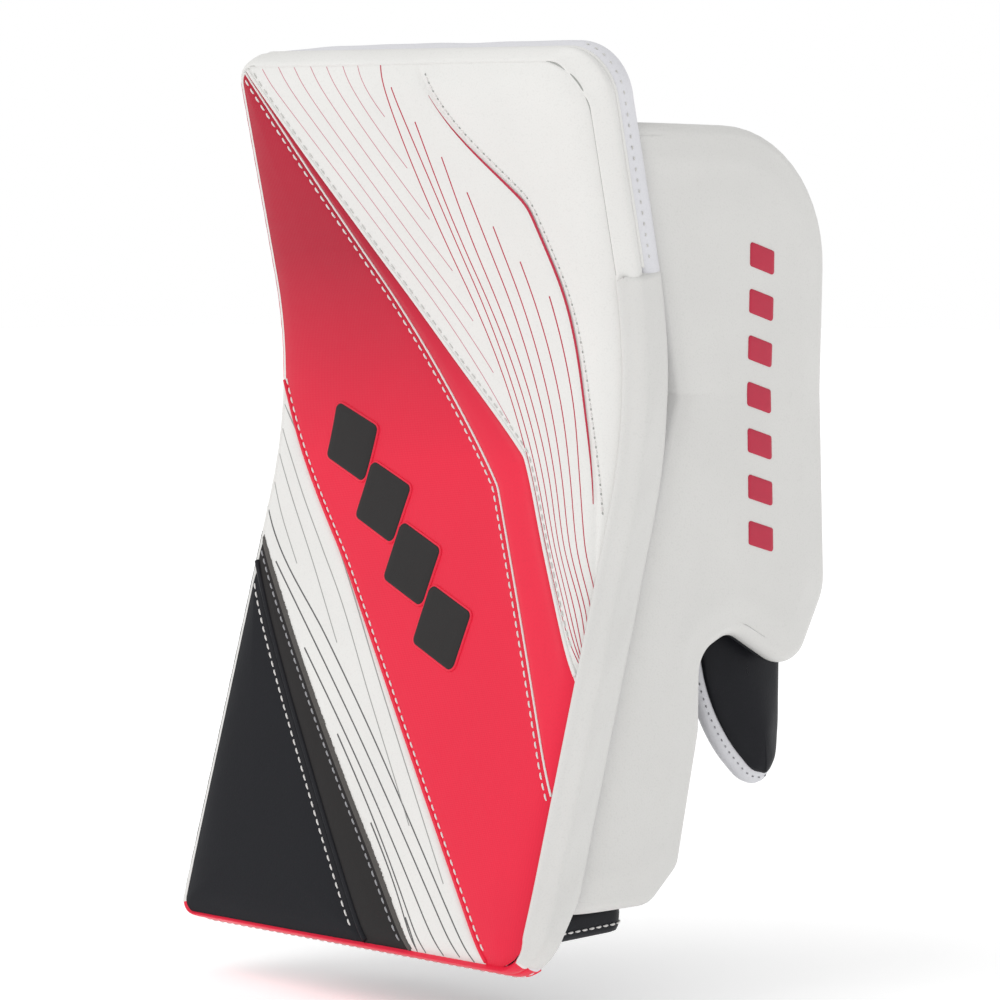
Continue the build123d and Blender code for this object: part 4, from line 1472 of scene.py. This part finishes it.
def plug(tree, slot, value):
    """Sets a socket to a number or colour, or links it."""
    if isinstance(value, Wire):
        tree.links.new(value.socket, slot)
    else:
        slot.default_value = value


class Finish:
    """A material under construction round one Principled shader."""

    def __init__(self, name, **constants):
        self.material = bpy.data.materials.new(name)
        self.material.use_nodes = True
        self.tree = self.material.node_tree
        self.shader = next(n for n in self.tree.nodes if n.type == "BSDF_PRINCIPLED")
        self.place = self.node("ShaderNodeTexCoord", {}, {}, "Object")
        for slot, value in constants.items():
            self.shader.inputs[slot.replace("_", " ")].default_value = value
        FINISHES[name] = self.material

    def node(self, kind, settings, inputs, output):
        node = self.tree.nodes.new(kind)
        for key, value in settings.items():
            setattr(node, key, value)
        for key, value in inputs.items():
            plug(self.tree, node.inputs[key], value)
        return Wire(self.tree, node.outputs[output])

    def noise(self, scale, detail=2.0, rough=0.5, at=None):
        inputs = {"Vector": at or self.place, "Scale": scale, "Detail": detail, "Roughness": rough}
        return self.node("ShaderNodeTexNoise", {}, inputs, "Fac")

    def cells(self, scale, at=None):
        inputs = {"Vector": at or self.place, "Scale": scale}
        return self.node("ShaderNodeTexVoronoi", {"feature": "F1"}, inputs, "Distance")

    def waves(self, scale, direction, distortion=0.0, at=None):
        settings = {"wave_type": "BANDS", "bands_direction": direction}
        inputs = {"Vector": at or self.place, "Scale": scale, "Distortion": distortion}
        return self.node("ShaderNodeTexWave", settings, inputs, "Fac")

    def ramp(self, value, low, high):
        inputs = {"Value": value, "From Min": low, "From Max": high}
        return self.node("ShaderNodeMapRange", {}, inputs, "Result")

    def mix(self, share, first, second):
        node = self.tree.nodes.new("ShaderNodeMix")
        node.data_type = "RGBA"
        plug(self.tree, node.inputs[0], share)
        plug(self.tree, node.inputs[6], first)
        plug(self.tree, node.inputs[7], second)
        return Wire(self.tree, node.outputs[2])

    def bump(self, height, strength, distance, under=None):
        inputs = {"Height": height, "Strength": strength, "Distance": distance}
        if under is not None:
            inputs["Normal"] = under
        return self.node("ShaderNodeBump", {}, inputs, "Normal")

    def finish(self, colour=None, roughness=None, normal=None):
        for name, value in (("Base Color", colour), ("Roughness", roughness), ("Normal", normal)):
            if value is not None:
                plug(self.tree, self.shader.inputs[name], value)


def shade(colour, factor):
    """A colour scaled in brightness, with alpha."""
    return (*[min(c * factor, 1.0) for c in colour[:3]], 1.0)


# heights in metres between which the red is darkened toward the wrist end: painted shade for the
# wrist half, which faces down, away from the key light
RED_SHADE_HEIGHTS = (-0.128, -0.040)


def fade(f, colour, deep, spread):
    """The colour with mottling, deepening toward the wrist end where deep is given."""
    mottle = f.noise(22.0, 3.0)
    tone = f.mix(mottle, shade(colour, 1 - spread), shade(colour, 1 + spread))
    if deep is None:
        return tone
    height = f.node("ShaderNodeSeparateXYZ", {}, {"Vector": f.place}, "Z")
    # painted shade: the mottled colour in the darker red for the wrist end
    shaded_tone = f.mix(mottle, shade(deep, 1 - spread), shade(deep, 1 + spread))
    return f.mix(f.ramp(height, *RED_SHADE_HEIGHTS), tone, shaded_tone)


def leather(name, colour, rough, grain=1500.0, bump=0.16, gloss=0.42, mottling=0.05, deep=None):
    """Coated synthetic leather: fine pebbled grain, slow mottling and a soft gloss."""
    f = Finish(name, Specular_IOR_Level=gloss)
    fine = f.noise(420.0, 4.0, 0.6)
    pebble = f.cells(grain)
    # with deep given, the tone carries painted shade toward the wrist end
    tone = fade(f, colour, deep, mottling)
    tone = f.mix(f.ramp(pebble, 0.55, 0.9) * 0.25, tone, shade(colour, 0.82))
    height = pebble * -0.6 + fine * 0.5
    normal = f.bump(height, bump, 0.00025)
    normal = f.bump(f.noise(60.0, 2.0), 0.10, 0.0012, normal)
    f.finish(tone, f.noise(160.0, 3.0) * 0.16 + (rough - 0.08), normal)


def woven_leather(name, colour, rough, deep=None):
    """Coated leather with a pressed cloth pattern: fine ribs both ways."""
    f = Finish(name, Specular_IOR_Level=0.28)
    rib = f.waves(330.0, "X", 0.6)
    cross = f.waves(420.0, "Z", 0.6)
    cloth = rib * 0.65 + cross * 0.35
    # with deep given, the tone carries painted shade toward the wrist end
    tone = fade(f, colour, deep, 0.05)
    tone = f.mix(cloth * 0.16, tone, shade(colour, 0.66))
    normal = f.bump(cloth, 0.22, 0.00022)
    normal = f.bump(f.noise(55.0, 2.0), 0.10, 0.0012, normal)
    f.finish(tone, f.noise(140.0, 3.0) * 0.16 + (rough - 0.08), normal)


def weave(name, colour, scale, rough=0.85, depth=0.5, sheen=0.25):
    """Woven cloth: two crossed rows of threads, with fuzz."""
    f = Finish(name, Specular_IOR_Level=0.25, Sheen_Weight=sheen)
    warp, weft = f.waves(scale, "X", 0.8), f.waves(scale, "Z", 0.8)
    depth_way = f.waves(scale, "Y", 0.8)
    cloth = warp * 0.4 + weft * 0.4 + depth_way * 0.2
    tone = f.mix(cloth, shade(colour, 0.7), shade(colour, 1.5))
    tone = f.mix(f.noise(40.0, 3.0) * 0.35, tone, shade(colour, 1.7))
    f.finish(tone, f.noise(90.0, 3.0) * 0.12 + (rough - 0.06), f.bump(cloth, depth, 0.0004))


def thread(name, colour):
    """Twisted sewing thread."""
    f = Finish(name, Specular_IOR_Level=0.35, Sheen_Weight=0.2)
    twist = f.waves(900.0, "DIAGONAL", 1.0)
    tone = f.mix(twist, shade(colour, 0.82), shade(colour, 1.05))
    f.finish(tone, f.noise(300.0, 2.0) * 0.1 + 0.5, f.bump(twist, 0.5, 0.0002))


def print_ink(name, colour, rough=0.4):
    """Flat ink over the leather's grain."""
    f = Finish(name, Specular_IOR_Level=0.4)
    tone = f.mix(f.noise(200.0, 3.0), shade(colour, 0.93), shade(colour, 1.07))
    f.finish(tone, f.noise(260.0, 3.0) * 0.12 + (rough - 0.06), f.bump(f.cells(1500.0), 0.1, 0.0002))


def make_finishes():
    """Every finish of the object."""
    tint = bpy.context.scene.blocker_colours
    white, red, black = tuple(tint.white), tuple(tint.red), tuple(tint.black)
    # deep: the darker red of the painted shade toward the wrist end, for red_leather and red_weave
    deep = tuple(tint.shaded_red)
    leather("white_leather", white, 0.46)
    leather("white_leather_cool", tuple(tint.white_cool), 0.5)
    # a darker copy of the white for the shield and its strip: painted shade, since the lights leave
    # them brighter than the face
    leather("white_leather_shaded", shade(white, 0.89)[:3], 0.44)
    leather("red_leather", red, 0.42, gloss=0.3, deep=deep)
    woven_leather("red_weave", red, 0.46, deep=deep)
    leather("black_leather", black, 0.42, grain=1300.0, bump=0.22, gloss=0.13)
    leather("charcoal_leather", tuple(tint.charcoal), 0.5, gloss=0.12)
    leather("badge", shade(tuple(tint.charcoal), 1.25)[:3], 0.5, gloss=0.12)
    leather("palm_leather", shade(black, 1.15)[:3], 0.62, grain=900.0, bump=0.4)
    weave("black_fabric", shade(black, 1.1)[:3], 700.0)
    weave("stretch", shade(black, 1.3)[:3], 1300.0, depth=0.3)
    weave("webbing", shade(black, 1.2)[:3], 520.0, depth=0.8)
    weave("hooks", shade(black, 1.8)[:3], 900.0, depth=1.0)
    weave("loops", shade(black, 1.5)[:3], 1500.0, depth=0.6, sheen=0.6)
    thread("thread_white", (0.82, 0.80, 0.78))
    thread("thread_grey", (0.35, 0.35, 0.37))
    thread("thread_shade", (0.66, 0.655, 0.63))
    thread("fray", (0.075, 0.068, 0.062))
    thread("hole", (0.40, 0.41, 0.39))
    print_ink("print_red", tuple(tint.print_red))
    print_ink("print_pale", (0.56, 0.20, 0.25))
    print_ink("print_grey", (0.10, 0.10, 0.10))
    print_ink("print_mist", (0.32, 0.32, 0.31))
    print_ink("plate", (0.75, 0.75, 0.72))


def finish_frame_nodes():
    """Finishes for the CAD nodes that stay: the hidden plates."""
    for name in ("stiffener_plate", "shield_stiffener"):
        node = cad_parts[name]
        for slot in node.material_slots:
            slot.material = FINISHES["plate"]


# ---------------------------------------------------------------- stage

CAMERA_AZIMUTH, CAMERA_ELEVATION = radians(43.4), radians(3.7)
CAMERA_TARGET = (-13.8, 40.0, -49.4)
CAMERA_DISTANCE = 1506.0
CAMERA_LENS = 126.0
FLOOR_GAP = 0.02
FLOOR_SPAN = 14.0


def make_stage():
    """Camera, floor, world and two wide lights."""
    scene = bpy.context.scene
    target = (np.array(CAMERA_TARGET) - ROW_ORIGIN) * MM
    back = np.array([sin(CAMERA_AZIMUTH) * cos(CAMERA_ELEVATION),
                     -cos(CAMERA_AZIMUTH) * cos(CAMERA_ELEVATION), sin(CAMERA_ELEVATION)])
    camera = bpy.data.objects.new("camera", bpy.data.cameras.new("camera"))
    camera.data.lens, camera.data.sensor_width = CAMERA_LENS, 36.0
    camera.data.clip_end = 50.0
    camera.location = target + back * CAMERA_DISTANCE * MM
    camera.rotation_euler = (pi / 2 - CAMERA_ELEVATION, 0, CAMERA_AZIMUTH)
    scene.collection.objects.link(camera)
    scene.camera = camera
    light_box = scene.blocker_stage
    mesh = bpy.data.meshes.new("floor")
    low, span = CAD_BOX[0][2] - FLOOR_GAP, FLOOR_SPAN
    mesh.from_pydata([(-span, -span, low), (span, -span, low), (span, span, low),
                      (-span, span, low)], [], [(0, 1, 2, 3)])
    floor = bpy.data.objects.new("floor", mesh)
    scene.collection.objects.link(floor)
    f = Finish("floor_paint", Specular_IOR_Level=0.1, Roughness=0.9, Emission_Strength=0.3,
               Emission_Color=(1, 1, 1, 1))
    f.finish(f.mix(f.noise(3.0, 2.0), (0.93, 0.93, 0.93, 1), (0.95, 0.95, 0.95, 1)))
    mesh.materials.append(FINISHES["floor_paint"])
    world = bpy.data.worlds.new("studio")
    world.use_nodes = True
    nodes, links = world.node_tree.nodes, world.node_tree.links
    way = nodes.new("ShaderNodeTexCoord")
    split = nodes.new("ShaderNodeSeparateXYZ")
    level = nodes.new("ShaderNodeMapRange")
    links.new(way.outputs["Generated"], split.inputs[0])
    links.new(split.outputs["Z"], level.inputs["Value"])
    for slot, value in (("From Min", 0.12), ("From Max", 0.5), ("To Min", 1.0),
                        ("To Max", light_box.ambient)):
        level.inputs[slot].default_value = value
    background = nodes["Background"]
    background.inputs["Color"].default_value = (1, 1, 1, 1)
    links.new(level.outputs["Result"], background.inputs["Strength"])
    scene.world = world
    lights = (("key", (-0.5, -1.0, 1.25), 40, light_box.key),
              ("fill", (1.0, -0.6, 0.6), 60, light_box.fill))
    for name, place, spread, power in lights:
        lamp = bpy.data.lights.new(name, "SUN")
        lamp.energy, lamp.angle = power, radians(spread)
        holder = bpy.data.objects.new(name, lamp)
        holder.location = place
        azimuth = np.arctan2(place[0], -place[1])
        rise = np.arctan2(place[2], np.hypot(*place[:2]))
        holder.rotation_euler = (pi / 2 - rise, 0, azimuth)
        scene.collection.objects.link(holder)
    scene.view_settings.view_transform = "Standard"
    scene.view_settings.look = "None"


# ---------------------------------------------------------------- the add-on

class BlockerSewing(bpy.types.PropertyGroup):
    """Sizes of the sewing."""

    pitch: FloatProperty(name="Stitch pitch", description="From one stitch to the next",
                         default=0.0044, unit="LENGTH")
    length: FloatProperty(name="Stitch length", description="Length of one stitch",
                          default=0.0034, unit="LENGTH")
    thread: FloatProperty(name="Thread", description="Thickness of the thread",
                          default=0.00085, unit="LENGTH")


class BlockerColours(bpy.types.PropertyGroup):
    """Colours of the leathers."""

    white: FloatVectorProperty(name="White", description="White leather", subtype="COLOR",
                               default=(0.745, 0.74, 0.72))
    white_cool: FloatVectorProperty(name="Edge white", description="White of the rear band",
                                    subtype="COLOR", default=(0.69, 0.69, 0.72))
    red: FloatVectorProperty(name="Red", description="Red leather", subtype="COLOR",
                             default=(0.78, 0.015, 0.050))
    # the darker red used as painted shade toward the wrist end
    shaded_red: FloatVectorProperty(name="Deep red", description="Red at the wrist end",
                                  subtype="COLOR", default=(0.41, 0.010, 0.032))
    print_red: FloatVectorProperty(name="Print red", description="Red ink", subtype="COLOR",
                                   default=(0.46, 0.012, 0.045))
    black: FloatVectorProperty(name="Black", description="Black leather", subtype="COLOR",
                               default=(0.011, 0.0115, 0.0145))
    charcoal: FloatVectorProperty(name="Charcoal", description="Charcoal leather",
                                  subtype="COLOR", default=(0.023, 0.0215, 0.0215))


class BlockerStage(bpy.types.PropertyGroup):
    """Strength of the studio light."""

    ambient: FloatProperty(name="Ambient", description="Brightness overhead", default=0.72)
    key: FloatProperty(name="Key", description="Strength of the main light", default=0.72)
    fill: FloatProperty(name="Fill", description="Strength of the side light", default=0.04)


def piece_operator(idname, label, doc, *makers):
    """An operator class that runs one or more makers."""
    def execute(self, context):
        for maker in makers:
            maker()
        return {"FINISHED"}

    body = {"bl_idname": f"blocker.{idname}", "bl_label": label, "__doc__": doc,
            "execute": execute}
    return type(f"BLOCKER_OT_{idname}", (bpy.types.Operator,), body)


OPERATORS = (
    piece_operator("stage", "Stage", "Camera, floor and lights.", make_stage),
    piece_operator("finishes", "Finishes", "Leather, cloth, thread and ink.", make_finishes,
                   finish_frame_nodes),
    piece_operator("face", "Face panels", "The seven sewn panels.", make_face_panels),
    piece_operator("face_sewing", "Face sewing", "Welts and stitches of the face.",
                   make_face_piping, make_face_stitches, make_needle_holes, make_frayed_edge),
    piece_operator("pinstripes", "Pinstripes", "Printed lines.", make_pinstripes),
    piece_operator("badge", "Badge", "Raised bars on the red panel.", make_badge),
    piece_operator("walls", "Side walls", "Bands round the board.", make_side_walls,
                   make_rim_trim, make_rear_cover),
    piece_operator("shield", "Side shield", "Padded shield and its marks.", make_shield,
                   make_shield_dashes),
    piece_operator("thumb", "Thumb", "Thumb guard, stall and root.", make_thumb,
                   make_thumb_base, make_thumb_gusset),
    piece_operator("glove", "Glove", "Palm, wrist, cuff, pad and fingertip guard.",
                   make_hand_pad, make_glove, make_palm_patch, make_tip_guard),
    piece_operator("strap", "Wrist strap", "Strap with its patches.", make_strap),
    piece_operator("fingers", "Fingers", "Stalls and joint covers.", make_fingers),
)


class BLOCKER_PT_panel(bpy.types.Panel):
    """The pieces of the blocker, in making order."""

    bl_label = "Blocker"
    bl_space_type = "VIEW_3D"
    bl_region_type = "UI"
    bl_category = "Blocker"

    def draw(self, context):
        for group in (context.scene.blocker_sewing, context.scene.blocker_colours,
                      context.scene.blocker_stage):
            for name in group.__annotations__:
                self.layout.prop(group, name)
        for operator in OPERATORS:
            self.layout.operator(operator.bl_idname)


CLASSES = (BlockerSewing, BlockerColours, BlockerStage, *OPERATORS, BLOCKER_PT_panel)


def register():
    for item in CLASSES:
        bpy.utils.register_class(item)
    bpy.types.Scene.blocker_sewing = PointerProperty(type=BlockerSewing)
    bpy.types.Scene.blocker_colours = PointerProperty(type=BlockerColours)
    bpy.types.Scene.blocker_stage = PointerProperty(type=BlockerStage)


def unregister():
    del bpy.types.Scene.blocker_sewing, bpy.types.Scene.blocker_colours
    del bpy.types.Scene.blocker_stage
    for item in reversed(CLASSES):
        bpy.utils.unregister_class(item)


def main():
    """Registers the add-on, makes every piece in order and writes the two boxes."""
    register()
    for operator in OPERATORS:
        getattr(bpy.ops.blocker, operator.bl_idname.split(".")[1])()


if __name__ == "__main__":
    main()
